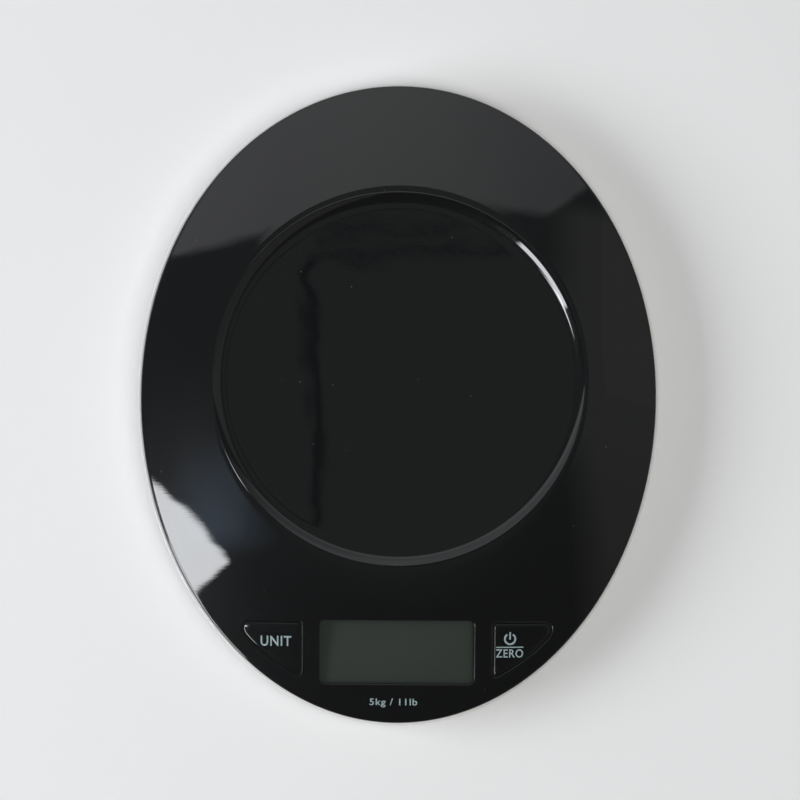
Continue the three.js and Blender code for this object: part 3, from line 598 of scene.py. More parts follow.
def base_blank(count):
    bend = BASE_TOP - FOOT_HEIGHT - RIM_HEIGHT
    ledge = SKIRT_BOTTOM - LEDGE_DROP
    rise = ledge - BASE_FLOOR
    outside = BASE_INSET + RIM_OUT
    outer = [inset(BASE_INSET - outside * s, FOOT_HEIGHT + bend * c) for s, c in quarter_turn(20)]
    inner = [
        inset(BASE_INSET + 1 - (BASE_INSET + 0.2) * s, BASE_FLOOR + rise * c)
        for s, c in quarter_turn(10)[::-1]
    ]
    rim = [inset(-RIM_OUT + RIM_ROUND * c, BASE_TOP - RIM_ROUND * (1 - s)) for s, c in quarter_turn(5)]
    lip = [inset(-RIM_GAP - RIM_ROUND * (1 - s), BASE_TOP - RIM_ROUND * c) for s, c in quarter_turn(5)]
    return loft("base_blank", [
        ring(CENTRE_RING, FOOT_HEIGHT),
        ring(FLAT_RING, FOOT_HEIGHT),
        *outer,
        *rim,
        *lip,
        inset(-RIM_GAP, ledge),
        *inner,
        ring(FLAT_RING, BASE_FLOOR),
        ring(CENTRE_RING, BASE_FLOOR),
    ], count)


# ---- display


def display_pane():
    size = PANE_HIGH - PANE_LOW
    outline = rounded_box(size, 1, (0, VIEW_Y))
    return bevel(prism("display_pane", outline, PANE_LOW[2], PANE_HIGH[2]), 0.15)


def lcd_glass():
    """Two glass sheets; the lower one stands out at the front and back for its contacts."""
    width, length, thick = LCD_HIGH - LCD_LOW
    middle = LCD_LOW[2] + thick / 2
    contact = 1.2
    lower = prism("lcd_glass", rounded_box((width, length), 0.3, (0, VIEW_Y), 3), LCD_LOW[2], middle)
    upper_outline = rounded_box((width, length - 2 * contact), 0.3, (0, VIEW_Y), 3)
    join_each(lower, [prism("upper", upper_outline, middle - 0.01, LCD_HIGH[2])])
    return bevel(lower, 0.08, 1)


# ---- prints


def print_on(obj, sunk, body):
    """Lays a flat print, drawn from z 0 to z 1, on the dome or a key sunk in it, to ride a body."""
    work = bmesh.new()
    work.from_mesh(obj.data)
    bmesh.ops.remove_doubles(work, verts=work.verts, dist=0.0005)
    bmesh.ops.triangulate(work, faces=work.faces)
    long_edges = [e for e in work.edges if e.calc_length() > PRINT_STEP]
    bmesh.ops.subdivide_edges(work, edges=long_edges, cuts=2, use_grid_fill=False)
    for vert in work.verts:
        height = dome_height((vert.co.x, vert.co.y))[0] - sunk
        vert.co.z = height + (PRINT_HALF if vert.co.z > 0.5 else -PRINT_HALF)
    bmesh.ops.scale(work, vec=(MM, MM, MM), verts=work.verts)
    bmesh.ops.recalc_face_normals(work, faces=work.faces)
    work.to_mesh(obj.data)
    work.free()
    obj.data.polygons.foreach_set("use_smooth", [False] * len(obj.data.polygons))
    dress(obj, INK, body, "black_gloss")


def lettering(name, words, centre, size):
    """Plain sans lettering of a given width and height, one unit thick."""
    curve = bpy.data.curves.new(name, "FONT")
    curve.body = words
    curve.size = 1
    curve.extrude = 0.5
    curve.offset = LETTER_WEIGHT
    curve.space_character = LETTER_SPACING
    curve.resolution_u = 5
    text = bpy.data.objects.new(name + "_text", curve)
    bpy.context.scene.collection.objects.link(text)
    bpy.context.view_layer.update()
    mesh = bpy.data.meshes.new_from_object(text)
    bpy.data.objects.remove(text)
    bpy.data.curves.remove(curve)
    places = np.array([v.co for v in mesh.vertices])
    low, high = places.min(0), places.max(0)
    share = (places - low) / (high - low)
    share[:, :2] = np.array(centre) + (share[:, :2] - 0.5) * size
    mesh.vertices.foreach_set("co", share.ravel())
    obj = bpy.data.objects.new(name, mesh)
    bpy.context.scene.collection.objects.link(obj)
    return obj


def flat_print(name, outline):
    """A print of any outline, one millimetre thick, before it is laid on a surface."""
    return prism(name, np.array(outline) / MM, 0, 1 / MM)


def power_symbol(name, centre, radius, stroke):
    """An open ring with an upright bar, the usual sign for on and off."""
    gap = math.radians(32)
    angles = math.pi / 2 + np.linspace(gap, 2 * math.pi - gap, 40)
    arc = np.column_stack([np.cos(angles), np.sin(angles)])
    sign = flat_print(name, np.vstack([centre + radius * arc, centre + (radius - stroke) * arc[::-1]]))
    left, right = centre[0] - stroke * 0.45, centre[0] + stroke * 0.45
    bottom, top = centre[1] - radius * 0.08, centre[1] + radius * 1.12
    return merge([sign, flat_print("bar", [(left, bottom), (right, bottom), (right, top), (left, top)])])


def add_prints():
    print_on(lettering("unit_print", "UNIT", (-44.1, -86.5), (11.2, 3.75)), KEY_SUNK, "unit_button")
    print_on(power_symbol("power_print", (41.3, -85.2), 2.25, 0.68), KEY_SUNK, "power_button")
    line = [(36.2, -88.5), (46.2, -88.4), (46.2, -88.0), (36.2, -88.1)]
    print_on(flat_print("divider_print", line), KEY_SUNK, "power_button")
    print_on(lettering("zero_print", "ZERO", (41.1, -90.5), (10.0, 3.1)), KEY_SUNK, "power_button")
    words = lettering("capacity_print", "5kg / 11lb", (-1.1, -108.9), (17.4, 3.3))
    print_on(words, 0, "platform")


# ---- underside


def foot(name):
    """A rubber foot with a rounded edge and two grip grooves in its sole."""
    low, high = node_box(name)
    x, y, _ = centre_of(name)
    radius = high[0] - x
    tall = high[2] - low[2]
    profile = [
        (0, 0.35), (1.2, 0.35), (1.5, 0.05), (1.7, 0), (3.0, 0), (3.2, 0.06), (3.35, 0.35), (3.75, 0.35),
        (3.9, 0.06), (4.1, 0), (radius - 1.1, 0), (radius - 0.55, 0.1), (radius - 0.16, 0.38),
        (radius, 0.9), (radius, tall - 0.1), (radius - 0.1, tall), (0, tall),
    ]
    return turned("rubber_" + name, profile, x, y, low[2], 64, 50)


def screw_head(name):
    """A pan-head screw pointing up, with a cross recess in its head."""
    low, high = node_box(name)
    x, y, _ = centre_of(name)
    head = high[0] - x
    tall = high[2] - low[2]
    profile = [
        (0, 0), (head * 0.45, 0.02), (head * 0.75, 0.18), (head * 0.93, SCREW_HEAD * 0.45),
        (head, SCREW_HEAD * 0.8), (head, SCREW_HEAD), (SCREW_SHANK, SCREW_HEAD),
        (SCREW_SHANK, tall - SCREW_SHANK * 0.6), (SCREW_SHANK * 0.5, tall), (0, tall),
    ]
    screw = turned("screw_" + name, profile, x, y, low[2], 40, 40)
    long, wide = head * 0.56, head * 0.13
    z0, z1 = low[2] - 1, low[2] + SCREW_HEAD * 0.55
    cross = box("cross", (x - long, y - wide, z0), (x + long, y + wide, z1))
    join_each(cross, [box("cross", (x - wide, y - long, z0), (x + wide, y + long, z1))])
    cut_each(screw, [cross])
    shade(screw, 30)
    return screw


def battery_door():
    """The door: grip bars, a latch tongue between two slits, and two hooks behind."""
    low, high = DOOR_LOW, DOOR_HIGH
    back = high[1] - TAB_LENGTH
    middle = (low[0] + high[0]) / 2
    outline = rounded_box((high[0] - low[0], back - low[1]), 1.2, (middle, (low[1] + back) / 2), 6)
    door = bevel(prism("battery_lid", outline, low[2], high[2]), 0.25)
    for x in TAB_PLACES:
        tab = box("tab", (x - 3, back - 0.5, high[2] - 1), (x + 3, high[1], high[2] - 0.001))
        join_each(door, [bevel(tab, 0.2, 1)])
    slits = []
    for x in (middle - 5, middle + 5):
        slits.append(box("slit", (x - 0.4, low[1] - 1, low[2] - 1), (x + 0.4, low[1] + 9, high[2] + 1)))
    combine(door, slits, "DIFFERENCE")
    grips = []
    for step in range(5):
        bar = rounded_box((12, 0.9), 0.44, (middle, low[1] + 14.5 + 2 * step), 5)
        grips.append(prism("grip", bar, low[2] - 1, low[2] + 0.5))
    combine(door, grips, "DIFFERENCE")
    shade(door, 30)
    return door


def base_tray():
    """The white tray: battery bay, foot seats, and a pad and wells for the load cell's screws."""
    blank = base_blank(240)
    tray = twin(blank, "base_tray")
    bay_low = (DOOR_LOW[0] - 2.1, DOOR_LOW[1] - 2, FOOT_HEIGHT + 0.5)
    bay_high = (DOOR_HIGH[0] + 2.1, DOOR_HIGH[1] + 2.4, BASE_FLOOR + 3)
    left, right = BAY_X - BAY_WIDTH / 2, BAY_X + BAY_WIDTH / 2
    wall = 1.8
    room_low = (left - wall, BAY_FRONT - wall, FOOT_HEIGHT + 0.5)
    room_high = (right + wall, BAY_BACK + wall, BAY_TOP + wall)
    spacer_low, spacer_high = node_box("base_spacer")
    pad_size = (18.7, spacer_high[1] - spacer_low[1] + 6)
    pad = rounded_box(pad_size, 3, (0, centre_of("base_spacer")[1]))
    join_each(tray, [
        box("bay", bay_low, bay_high),
        box("bay_room", room_low, room_high),
        prism("pad", pad, FOOT_HEIGHT + 0.5, spacer_low[2]),
    ])
    back = DOOR_HIGH[1] - TAB_LENGTH
    mouth_size = (DOOR_HIGH[0] - DOOR_LOW[0] + 0.6, back - DOOR_LOW[1] + 0.6)
    mouth = rounded_box(mouth_size, 1.5, (BAY_X, (DOOR_LOW[1] + back) / 2), 6)
    cuts = [
        box("room", (left, BAY_FRONT, 0), (right, BAY_BACK, BAY_TOP)),
        prism("mouth", mouth, 0, DOOR_HIGH[2] + 0.2),
    ]
    for x in TAB_PLACES:
        low = (x - 3.4, back - 2.4, FOOT_HEIGHT + 0.5)
        cuts.append(box("hook_slot", low, (x + 3.4, DOOR_HIGH[1] + 0.9, FOOT_HEIGHT + 3.6)))
    for name in FEET:
        high = node_box(name)[1]
        x, y, _ = centre_of(name)
        cuts.append(rod("seat", high[0] - x + 0.2, x, y, 0, high[2], 64))
    for name in BASE_SCREWS:
        head = node_box(name)[1][0]
        y = centre_of(name)[1]
        cuts.append(rod("way", 2.15, 0, y, 0, 30, 32))
        cuts.append(rod("well", head + 0.5, 0, y, 0, FOOT_HEIGHT + 2, 48))
    cut_each(tray, cuts)
    return settle(tray, blank, 32)


# ---- load cell, wires and batteries


def load_cell():
    """The bending beam, its mesh cut finely along its length."""
    low, high = node_box("load_cell")
    x, y, z = centre_of("load_cell")
    beam = bevel(box("bending_beam", low, high), 0.3, 2)
    tools = []
    for side in (-1, 1):
        eye = rod("eye", CELL_HOLE, 0, 0, -10, 10, 40)
        eye.data.transform(Matrix.Rotation(math.pi / 2, 4, "Y"))
        eye.data.transform(Matrix.Translation(Vector((x, y + side * CELL_HOLE_HALF_PITCH, z)) * MM))
        tools.append(eye)
    slot_low = (-10, y - CELL_HOLE_HALF_PITCH, z - CELL_SLOT)
    tools.append(box("slot", slot_low, (10, y + CELL_HOLE_HALF_PITCH, z + CELL_SLOT)))
    for name in BASE_SCREWS + TOP_SCREWS:
        tools.append(rod("hole", SCREW_HOLE, 0, centre_of(name)[1], low[2] - 1, high[2] + 1, 24))
    cut_each(beam, tools)
    work = bmesh.new()
    work.from_mesh(beam.data)
    for cut_y in np.linspace(y - CELL_BEND, y + CELL_BEND, 9):
        parts = list(work.verts) + list(work.edges) + list(work.faces)
        bmesh.ops.bisect_plane(work, geom=parts, plane_co=(0, cut_y * MM, 0), plane_no=(0, 1, 0))
    work.to_mesh(beam.data)
    work.free()
    shade(beam, 30)
    return beam


def smooth_path(points, steps):
    """A centripetal Catmull-Rom curve through the points, as the CAD wires follow."""
    points = [np.array(p, float) for p in points]
    stretches = len(points) - 1
    points = [2 * points[0] - points[1], *points, 2 * points[-1] - points[-2]]
    path = []
    for step in range(steps + 1):
        place = stretches * step / steps
        index = min(int(place), stretches - 1)
        path.append(centripetal(*points[index:index + 4], place - index))
    return path


def centripetal(p0, p1, p2, p3, share):
    """One point of the stretch from p1 to p2."""
    gap_0, gap_1, gap_2 = (
        max(np.linalg.norm(b - a) ** 0.5, 1e-4) for a, b in ((p0, p1), (p1, p2), (p2, p3))
    )
    start = ((p1 - p0) / gap_0 - (p2 - p0) / (gap_0 + gap_1) + (p2 - p1) / gap_1) * gap_1
    end = ((p2 - p1) / gap_1 - (p3 - p1) / (gap_1 + gap_2) + (p3 - p2) / gap_2) * gap_1
    a = 2 * p1 - 2 * p2 + start + end
    b = -3 * p1 + 3 * p2 - 2 * start - end
    return ((a * share + b) * share + start) * share + p1


def tube(name, path, radius):
    """A round wire along a path, its ring turned as little as possible from point to point."""
    path = np.array(path)
    along = np.gradient(path, axis=0)
    along /= np.linalg.norm(along, axis=1)[:, None]
    side = np.cross(along[0], (0.3, 0.2, 0.9))
    turns = np.arange(12) * math.pi / 6
    rings = []
    for place, forward in zip(path, along):
        side = side - forward * side.dot(forward)
        side /= np.linalg.norm(side)
        up = np.cross(forward, side)
        rings.append(place + radius * (np.outer(np.cos(turns), side) + np.outer(np.sin(turns), up)))
    return stack(name, rings, sharp=60)


def wires():
    """The gauge leads and battery leads, each a round wire along a smooth path."""
    cell_low, cell_high = node_box("load_cell")
    board_low = node_box("main_board")[0]
    for order, colour in enumerate(INSULATION):
        side = cell_high[0] + 0.9
        landing = -5 + 2.6 * order
        z = cell_low[2] - 2 * order
        path = smooth_path([
            (side, DISH_Y + 3 - 2 * order, z + 9),
            (side + 0.6, DISH_Y - 8 - 2 * order, z + 8),
            (side + 0.6, cell_low[1] + 6, z + 7.4),
            (side + 0.8, cell_low[1] - 4, z + 7),
            (landing + 1, cell_low[1] - 25, cell_low[2] + 2),
            (landing, KEY_TOP + 9, cell_low[2] + 3),
            (landing, KEY_TOP + 6.5, board_low[2] - 0.3),
        ], 90)
        lead = tube(f"gauge_lead_{colour}", path, WIRE_RADIUS)
        bend_with_platform(lead, colour, f"cell_wire_{colour}")
    starts = (BAY_X - 5.75, BAY_X + 5.75)
    for x, landing, colour in zip(starts, (14, 18), ("red", "black")):
        start = BAY_FRONT - 0.9
        path = smooth_path([
            (x, start, BAY_TOP + 2.8),
            (x - 1, start - 6, BAY_TOP + 1),
            ((x + landing) / 2, (start + KEY_TOP) / 2, BASE_FLOOR + 4),
            (landing, KEY_TOP + 12, BASE_FLOOR + 4),
            (landing, KEY_TOP + 7, board_low[2] - 3),
            (landing, KEY_TOP + 6.5, board_low[2] - 0.3),
        ], 80)
        lead = tube(f"battery_lead_{colour}", path, WIRE_RADIUS)
        bend_with_platform(lead, colour, f"battery_wire_{colour}")


def bend_with_platform(obj, colour, replaced):
    """Colours a lead, whose ends sit on the base and on the platform, and hides the CAD wire it stands
    for.
    """
    obj.data.materials.append(INSULATION[colour])
    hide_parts(replaced)
    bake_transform(obj)


def battery(name, side):
    """A wrapped AAA cell with its raised positive button, lying along Y."""
    low, high = node_box(name)
    radius = (high[0] - low[0]) / 2
    tall = high[1] - low[1]
    way = 1 if side == "left" else -1
    profile = [
        (0, 0), (radius - 1.1, 0), (radius - 0.9, 0.25), (radius - 0.6, 0.3), (radius - 0.25, 0.12),
        (radius, 0.5), (radius, tall - 1.6), (radius - 0.3, tall - 1.05), (radius - 1.2, tall - 1.0),
        (2.1, tall - 1.05), (1.9, tall - 0.9), (1.9, tall - 0.2), (1.7, tall), (0, tall),
    ]
    cell = turned("battery_cell_" + side, profile, 0, 0, -tall / 2, 48, 40)
    cell.data.transform(Matrix.Rotation(way * math.pi / 2, 4, "X"))
    cell.data.transform(Matrix.Translation(Vector(centre_of(name)) * MM))
    return cell


# ---- materials


class Nodes:
    """Short names for adding and linking nodes in one material or world."""

    def __init__(self, tree):
        self.tree = tree
        self.shader = tree.nodes.get("Principled BSDF")

    def add(self, kind, inputs=(), **settings):
        node = self.tree.nodes.new(kind)
        for key, value in settings.items():
            setattr(node, key, value)
        for key, value in dict(inputs).items():
            self.feed(node.inputs[key], value)
        return node

    def feed(self, socket, value):
        if isinstance(value, bpy.types.NodeSocket):
            self.tree.links.new(value, socket)
        else:
            socket.default_value = value

    def place(self):
        return self.add("ShaderNodeTexCoord").outputs["Object"]

    def noise(self, scale, detail=2.0, roughness=0.5, turn=0.0, stretch=(1, 1, 1)):
        place = self.add("ShaderNodeMapping", {
            "Vector": self.place(), "Scale": stretch, "Rotation": (0, 0, turn),
        }).outputs[0]
        return self.add("ShaderNodeTexNoise", {
            "Vector": place, "Scale": scale, "Detail": detail, "Roughness": roughness,
        }).outputs["Fac"]

    def wobble(self, low, high, scale, detail=2.0):
        """A value that drifts between two levels over the surface."""
        return self.ramp(self.noise(scale, detail), 0.3, 0.7, low, high)

    def ramp(self, value, low, high, out_low=0.0, out_high=1.0):
        return self.add("ShaderNodeMapRange", {
            "Value": value, "From Min": low, "From Max": high, "To Min": out_low, "To Max": out_high,
        }).outputs[0]

    def math(self, operation, a, b=0.0, c=0.0):
        return self.add("ShaderNodeMath", {0: a, 1: b, 2: c}, operation=operation).outputs[0]

    def every(self, *masks):
        product = masks[0]
        for mask in masks[1:]:
            product = self.math("MULTIPLY", product, mask)
        return product

    def less(self, a, b):
        return self.math("SUBTRACT", a, b)

    def line(self, x, y, a, b, c):
        """a x + b y + c"""
        return self.math("ADD", self.math("MULTIPLY", x, a), self.math("MULTIPLY_ADD", y, b, c))

    def blend(self, share, a, b):
        """A mix of two colours, each a socket or three numbers."""
        node = self.add("ShaderNodeMix", {0: share}, data_type="RGBA")
        for socket, colour in ((node.inputs[6], a), (node.inputs[7], b)):
            self.feed(socket, (*colour, 1) if isinstance(colour, tuple) else colour)
        return node.outputs[2]

    def bump(self, height, strength, distance, under=None):
        node = self.add("ShaderNodeBump", {
            "Height": height, "Strength": strength, "Distance": distance * MM,
        })
        if under is not None:
            self.tree.links.new(under, node.inputs["Normal"])
        return node.outputs[0]

    def wire(self, **sockets):
        for socket, value in sockets.items():
            self.feed(self.shader.inputs[socket.replace("_", " ")], value)


def material(name, colour, roughness, metallic=0.0):
    """A new material and its nodes."""
    made = bpy.data.materials.new(name)
    made.use_nodes = True
    nodes = Nodes(made.node_tree)
    nodes.wire(Base_Color=(*colour, 1), Roughness=roughness, Metallic=metallic)
    return made, nodes


def specks(nodes, scale, size, share):
    """Sparse round specks: 1 inside a speck and 0 elsewhere."""
    cells = nodes.add("ShaderNodeTexVoronoi", {"Vector": nodes.place(), "Scale": scale})
    small = nodes.ramp(cells.outputs["Distance"], size, size * 0.6)
    chosen = nodes.add("ShaderNodeSeparateColor", {0: cells.outputs["Color"]}).outputs[0]
    return nodes.math("MULTIPLY", small, nodes.math("LESS_THAN", chosen, share))


def black_gloss():
    """Glossy black moulding: a clear deep surface with slight sinks, wipe marks and dust."""
    black = (0.0033, 0.0035, 0.0036)
    made, nodes = material("black_gloss", black, 0.3)
    nodes.wire(Specular_IOR_Level=0.045, Coat_Weight=1, Coat_Roughness=0.006)
    wipes = nodes.noise(160, 3, 0.65, turn=0.98, stretch=(1, 14, 1))
    nodes.wire(Roughness=nodes.ramp(wipes, 0.3, 0.7, 0.24, 0.4))
    dust = specks(nodes, 160, 0.035, 0.3)
    nodes.wire(Base_Color=nodes.blend(dust, black, (0.12, 0.125, 0.13)))
    sink = nodes.bump(nodes.noise(14, 1.5, 0.5), 0.3, 0.12)
    sink = nodes.bump(nodes.noise(75, 1, 0.4), 1.0, 0.02, sink)
    nodes.wire(Normal=sink, Coat_Normal=nodes.bump(wipes, 0.12, 0.01, sink))
    return made


def white_plastic():
    made, nodes = material("white_plastic", (0.8, 0.8, 0.785), 0.42)
    tone = nodes.wobble(0, 1, 30)
    nodes.wire(
        Normal=nodes.bump(nodes.noise(2600, 2), 0.15, 0.02),
        Roughness=nodes.wobble(0.38, 0.48, 160, 3),
        Base_Color=nodes.blend(tone, (0.79, 0.79, 0.77), (0.82, 0.82, 0.81)),
    )
    return made


def clear_pane():
    """Clear acrylic, nearly see-through from straight ahead and mirror-like at a slant."""
    made, nodes = material("clear_pane", (0.01, 0.011, 0.01), 0.03)
    facing = nodes.add("ShaderNodeLayerWeight", {"Blend": 0.25}).outputs["Fresnel"]
    nodes.wire(Alpha=nodes.ramp(facing, 0.0, 1.0, 0.1, 0.9), Roughness=nodes.wobble(0.02, 0.06, 70, 3))
    return made


def display_glass():
    """The greenish grey reflector of an unlit liquid crystal display."""
    made, nodes = material("display_glass", (0.054, 0.064, 0.057), 0.35)
    tone = nodes.wobble(0, 1, 12)
    nodes.wire(
        Specular_IOR_Level=0.3,
        Base_Color=nodes.blend(tone, (0.056, 0.069, 0.06), (0.064, 0.078, 0.068)),
        Normal=nodes.bump(nodes.noise(4000, 1), 0.1, 0.0006),
    )
    return made


def ink():
    """The silvery blue-grey print on the keys and the cover."""
    made, nodes = material("print_ink", (0.25, 0.32, 0.325), 0.45)
    tone = nodes.wobble(0, 1, 900, 3)
    nodes.wire(Base_Color=nodes.blend(tone, (0.22, 0.29, 0.3), (0.28, 0.36, 0.36)))
    return made


def speckled(name, dark, light, roughness, scale=400, bump=0.1, depth=0.02):
    """A moulded or coated finish with a fine two-tone grain."""
    made, nodes = material(name, dark, roughness)
    grain = nodes.noise(scale, 3)
    nodes.wire(
        Base_Color=nodes.blend(nodes.ramp(grain, 0.35, 0.65), dark, light),
        Roughness=nodes.wobble(roughness - 0.06, roughness + 0.06, scale / 3),
        Normal=nodes.bump(grain, bump, depth),
    )
    return made


def brushed(name, colour, roughness, stretch):
    """Bare metal with fine lines along one direction."""
    made, nodes = material(name, colour, roughness, 1.0)
    lines = nodes.noise(700, 3, 0.6, stretch=stretch)
    nodes.wire(Roughness=nodes.ramp(lines, 0.3, 0.7, roughness - 0.08, roughness + 0.1))
    nodes.wire(Normal=nodes.bump(lines, 0.12, 0.01))
    return made


def battery_wrap():
    """A blue sleeve with a band, and bare nickel at both ends."""
    made, nodes = material("battery_wrap", (0.05, 0.12, 0.3), 0.3)
    normal = nodes.add("ShaderNodeNewGeometry").outputs["Normal"]
    facing_y = nodes.add("ShaderNodeSeparateXYZ", {0: normal}).outputs[1]
    end = nodes.ramp(nodes.math("ABSOLUTE", facing_y), 0.75, 0.8)
    y = nodes.add("ShaderNodeSeparateXYZ", {0: nodes.place()}).outputs[1]
    band_y, half_band = 0.0092, 0.008
    band = nodes.math("LESS_THAN", nodes.math("ABSOLUTE", nodes.less(y, band_y)), half_band)
    sleeve = nodes.blend(band, (0.035, 0.09, 0.25), (0.55, 0.56, 0.58))
    nodes.wire(
        Base_Color=nodes.blend(end, sleeve, (0.62, 0.61, 0.57)),
        Metallic=end,
        Roughness=nodes.wobble(0.26, 0.36, 300),
    )
    return made


def board_green():
    """Solder mask over faint copper tracks."""
    mask = (0.012, 0.09, 0.035)
    made, nodes = material("board_green", mask, 0.4)
    tracks = nodes.add("ShaderNodeTexBrick", {
        "Vector": nodes.place(), "Scale": 160.0, "Mortar Size": 0.12, "Mortar Smooth": 0.1,
        "Color1": (*mask, 1), "Color2": (0.014, 0.1, 0.04, 1), "Mortar": (0.03, 0.16, 0.05, 1),
    })
    nodes.wire(
        Base_Color=tracks.outputs["Color"],
        Normal=nodes.bump(tracks.outputs["Fac"], 0.3, 0.03),
        Roughness=nodes.wobble(0.34, 0.46, 200),
    )
    return made


def floor_paint():
    made, nodes = material("floor_paint", (0.82, 0.82, 0.825), 0.85)
    nodes.wire(Specular_IOR_Level=0.1, Normal=nodes.bump(nodes.noise(500, 3), 0.1, 0.08))
    return made


# ---- scene


def set_camera():
    """Straight above the scale, on a long lens, turned a touch with the photograph."""
    height = 1.2
    seen_width = 0.292
    camera = bpy.data.objects.new("camera", bpy.data.cameras.new("camera"))
    camera.data.sensor_width = 36
    camera.data.lens = 36 * height / seen_width
    camera.location = (0.00055, 0.00168, 0.026 + height)
    camera.rotation_euler = (0, 0, math.radians(0.4))
    bpy.context.scene.collection.objects.link(camera)
    bpy.context.scene.camera = camera


def set_floor():
    size = 3.0
    low = -0.0001
    corners = [(-size, -size, low), (size, -size, low), (size, size, low), (-size, size, low)]
    mesh = bpy.data.meshes.new("floor")
    mesh.from_pydata(corners, [], [(0, 1, 2, 3)])
    floor = bpy.data.objects.new("floor", mesh)
    floor.data.materials.append(floor_paint())
    bpy.context.scene.collection.objects.link(floor)


def area_light(name, place, size, power, colour):
    """A soft light aimed at the scale, not seen in its reflections."""
    data = bpy.data.lights.new(name, "AREA")
    data.size = size
    data.energy = power
    data.color = colour
    light = bpy.data.objects.new(name, data)
    light.location = place
    light.rotation_euler = (-Vector(place)).to_track_quat("-Z", "Y").to_euler()
    light.visible_glossy = False
    bpy.context.scene.collection.objects.link(light)


def set_world():
    """A dim studio: a pale wall behind, a bright window low at front left, and darker overhead.

    A direction is told by how far it leans to the right (u) and to the back (v) for one step up.
    """
    world = bpy.data.worlds.new("studio")
    bpy.context.scene.world = world
    world.use_nodes = True
    nodes = Nodes(world.node_tree)
    glossy = nodes.add("ShaderNodeLightPath").outputs["Is Glossy Ray"]
    direction = nodes.add("ShaderNodeTexCoord").outputs["Generated"]
    x, y, z = nodes.add("ShaderNodeSeparateXYZ", {0: direction}).outputs
    up = nodes.math("MAXIMUM", z, 0.05)
    u = nodes.math("DIVIDE", x, up)
    v = nodes.math("DIVIDE", y, up)

    def above(value, blur=0.012, edge=0.0):
        return nodes.ramp(value, edge - blur, edge + blur)

    def side(a, b, c, blur):
        """One on the side of a line where a u + b v + c is above nought."""
        return above(nodes.line(u, v, a, b, c), blur)

    def bar(line, edge, core, along, low, high):
        """A thin dark bar on the line a u + b v + c, between two places along it."""
        across = nodes.ramp(nodes.math("ABSOLUTE", nodes.line(u, v, *line)), edge, core)
        return nodes.every(across, above(along, 0.001, low), nodes.ramp(along, high, high - 0.001))

    def lit(share, colour):
        return nodes.blend(share, (0, 0, 0), colour)

    wall_level = nodes.math("MAXIMUM", nodes.line(u, v, -0.42, 0.5, 0.5), 0.3)
    wall_level = nodes.math("MINIMUM", wall_level, 1.15)
    wall = nodes.every(
        side(-0.055, 1, -0.357, 0.008),
        side(-0.4, 1, -0.227, 0.006),
        wall_level,
        nodes.ramp(v, 0.58, 0.72, 1.0, 0.6),
        nodes.math("MULTIPLY_ADD", glossy, 0.7, 0.3),
    )
    right = nodes.every(above(u, 0.07, 0.44), nodes.less(1.0, above(v, 0.02, 0.4)))
    shelf = nodes.every(above(u, 0.004, 0.6), above(v, 0.004, -0.02))
    diagonal = nodes.line(u, v, -0.3048, -0.9524, -0.3716)
    window = nodes.every(
        above(diagonal, 0.003),
        side(-0.27, 1, 0.183, 0.003),
        side(0.225, -1, 0, 0.004),
        above(u, 0.01, -0.74),
    )
    second = nodes.every(
        side(0.43, -1, 0, 0.02),
        side(-1.126, 1, 0, 0.03),
        side(-0.8, -0.6, -0.66, 0.02),
        side(0.8, 0.6, 1.7, 0.1),
    )
    haze = nodes.every(
        nodes.ramp(diagonal, -0.1, -0.02),
        above(v, 0.012, -0.262),
        nodes.ramp(u, -0.2, -0.34),
        nodes.ramp(u, -0.62, -0.42),
    )
    bars = (
        bar((1, 0.05, 0.0262), 0.0022, 0.001, v, -0.04, 0.044),
        bar((-0.06, 1, -0.0445), 0.0018, 0.0008, u, -0.027, 0.036),
        bar((-0.08, 1, -0.0525), 0.0016, 0.0006, u, -0.026, 0.022),
    )
    dark = nodes.math("MAXIMUM", nodes.math("MAXIMUM", *bars[:2]), bars[2])
    front = nodes.ramp(v, -0.12, -0.3)
    over = nodes.every(nodes.ramp(nodes.math("ABSOLUTE", u), 0.3, 0.1), nodes.less(1.0, front))
    total = nodes.blend(front, (0.13, 0.14, 0.145), (0.08, 0.08, 0.085))
    total = nodes.blend(over, total, (0.21, 0.225, 0.215))
    total = nodes.blend(dark, total, (0.03, 0.03, 0.06))
    daylight = (14.0, 14.3, 14.7)
    for part in (
        lit(wall, (1.0, 1.0, 1.04)),
        lit(right, (0.2, 0.2, 0.185)),
        lit(nodes.every(shelf, right), (0.05, 0.05, 0.045)),
        lit(nodes.every(window, glossy), daylight),
        lit(nodes.every(second, glossy), daylight),
        lit(haze, (0.46, 0.66, 0.92)),
    ):
        total = nodes.add("ShaderNodeVectorMath", {0: total, 1: part}, operation="ADD").outputs[0]
    below_horizon = (0.5, 0.5, 0.5)
    total = nodes.blend(nodes.math("GREATER_THAN", z, 0.0), below_horizon, total)
    nodes.feed(world.node_tree.nodes["Background"].inputs["Color"], total)


def dress(obj, made, body, slot, *replaced):
    """Gives a piece its material and body, and hides the CAD nodes that it stands for; its slot is not
    used.
    """
    obj.data.materials.clear()
    obj.data.materials.append(made)
    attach(obj, body)
    if replaced:
        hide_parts(*replaced)


def paint_cad(made, *names):
    """Puts a finish on CAD nodes that keep their own meshes."""
    for name in names:
        obj = bpy.data.objects[name]
        if not obj.material_slots:
            obj.data.materials.append(None)
        for holder in obj.material_slots:
            holder.link = "OBJECT"
            holder.material = made


set_camera()
set_floor()
set_world()
bpy.context.scene.view_settings.view_transform = "Standard"
area_light("side_light", (-1.45, -0.12, 1.1), 1.1, 22, (0.98, 0.99, 1.02))
area_light("top_light", (0.33, -0.12, 2.0), 0.8, 15.5, (1.0, 0.985, 0.955))

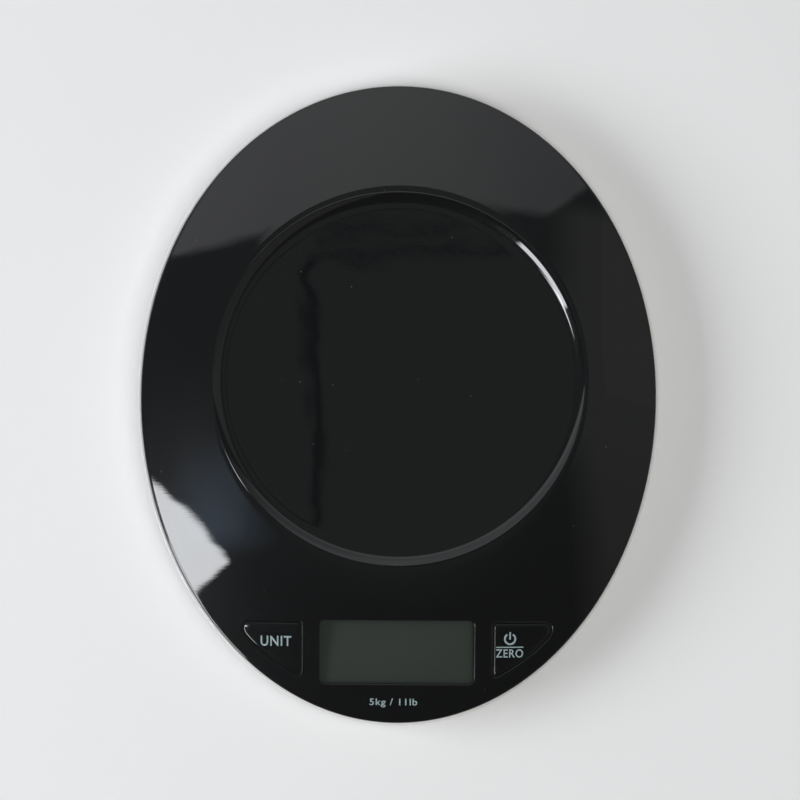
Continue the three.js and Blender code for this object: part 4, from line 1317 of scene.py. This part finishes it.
BLACK = black_gloss()
WHITE = white_plastic()
INK = ink()
RUBBER = speckled("foot_rubber", (0.012, 0.012, 0.012), (0.02, 0.02, 0.02), 0.8, 900, 0.3, 0.05)
STEEL = brushed("screw_steel", (0.55, 0.56, 0.58), 0.32, (1, 1, 1))
PLATE = brushed("plate_steel", (0.5, 0.51, 0.53), 0.36, (1, 12, 1))
ALUMINIUM = brushed("cell_aluminium", (0.72, 0.73, 0.75), 0.34, (8, 1, 8))
NICKEL = brushed("nickel", (0.66, 0.65, 0.6), 0.25, (1, 1, 1))
RESIN = speckled("gauge_resin", (0.62, 0.6, 0.52), (0.7, 0.68, 0.6), 0.45, 500)
MATTE = speckled("white_matte", (0.7, 0.7, 0.68), (0.76, 0.76, 0.74), 0.6, 700)
ZEBRA = speckled("grey_rubber", (0.07, 0.07, 0.08), (0.1, 0.1, 0.11), 0.75, 1500, 0.3, 0.05)
EPOXY = speckled("black_epoxy", (0.006, 0.006, 0.007), (0.012, 0.012, 0.012), 0.32, 300)
CAN = brushed("crystal_can", (0.68, 0.68, 0.66), 0.28, (1, 6, 6))
INSULATION = {
    colour: speckled("wire_" + colour, dark, light, 0.42, 800, 0.05)
    for colour, dark, light in (
        ("red", (0.4, 0.012, 0.012), (0.46, 0.02, 0.018)),
        ("black", (0.008, 0.008, 0.008), (0.014, 0.014, 0.014)),
        ("white", (0.66, 0.66, 0.63), (0.72, 0.72, 0.7)),
        ("green", (0.012, 0.18, 0.045), (0.018, 0.22, 0.06)),
    )
}

dress(top_cover(), BLACK, "platform", "black_gloss", "top_cover")
dress(key_cap("unit_key", -1), BLACK, "unit_button", "black_gloss", "unit_key")
dress(key_cap("power_key", 1), BLACK, "power_button", "black_gloss", "power_key")
dress(display_pane(), clear_pane(), "platform", "clear_pane", "display_window")
dress(lcd_glass(), display_glass(), "platform", "display_glass", "lcd_panel")
add_prints()
dress(base_tray(), WHITE, "base", "white_plastic", "base_shell")
dress(battery_door(), WHITE, "battery_lid", "white_plastic", "battery_door")
for foot_name in FEET:
    dress(foot(foot_name), RUBBER, "base", "foot_rubber", foot_name)
for screw_name in BASE_SCREWS:
    dress(screw_head(screw_name), STEEL, "base", "screw_steel", screw_name)
WRAP = battery_wrap()
dress(battery("battery_left", "left"), WRAP, "base", "battery_wrap", "battery_left")
dress(battery("battery_right", "right"), WRAP, "base", "battery_wrap", "battery_right")

beam = load_cell()
beam.data.materials.append(ALUMINIUM)
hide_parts("load_cell")
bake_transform(beam)
wires()

paint_cad(NICKEL, "positive_contact", "negative_contact", "bridge_contact")
paint_cad(RESIN, "gauge_coating_top", "gauge_coating_bottom")
paint_cad(ALUMINIUM, "base_spacer", "platform_spacer")
paint_cad(STEEL, *TOP_SCREWS)
paint_cad(STEEL, *[f"{kind}_screw_{i}" for kind in ("plate", "board") for i in (1, 2, 3, 4)])
paint_cad(PLATE, "load_plate")
paint_cad(MATTE, "lcd_frame", "unit_plunger", "power_plunger")
paint_cad(ZEBRA, "zebra_front", "zebra_back")
paint_cad(board_green(), "main_board")
paint_cad(EPOXY, "processor_blob", "capacitor", "unit_switch", "power_switch")
paint_cad(CAN, "crystal")
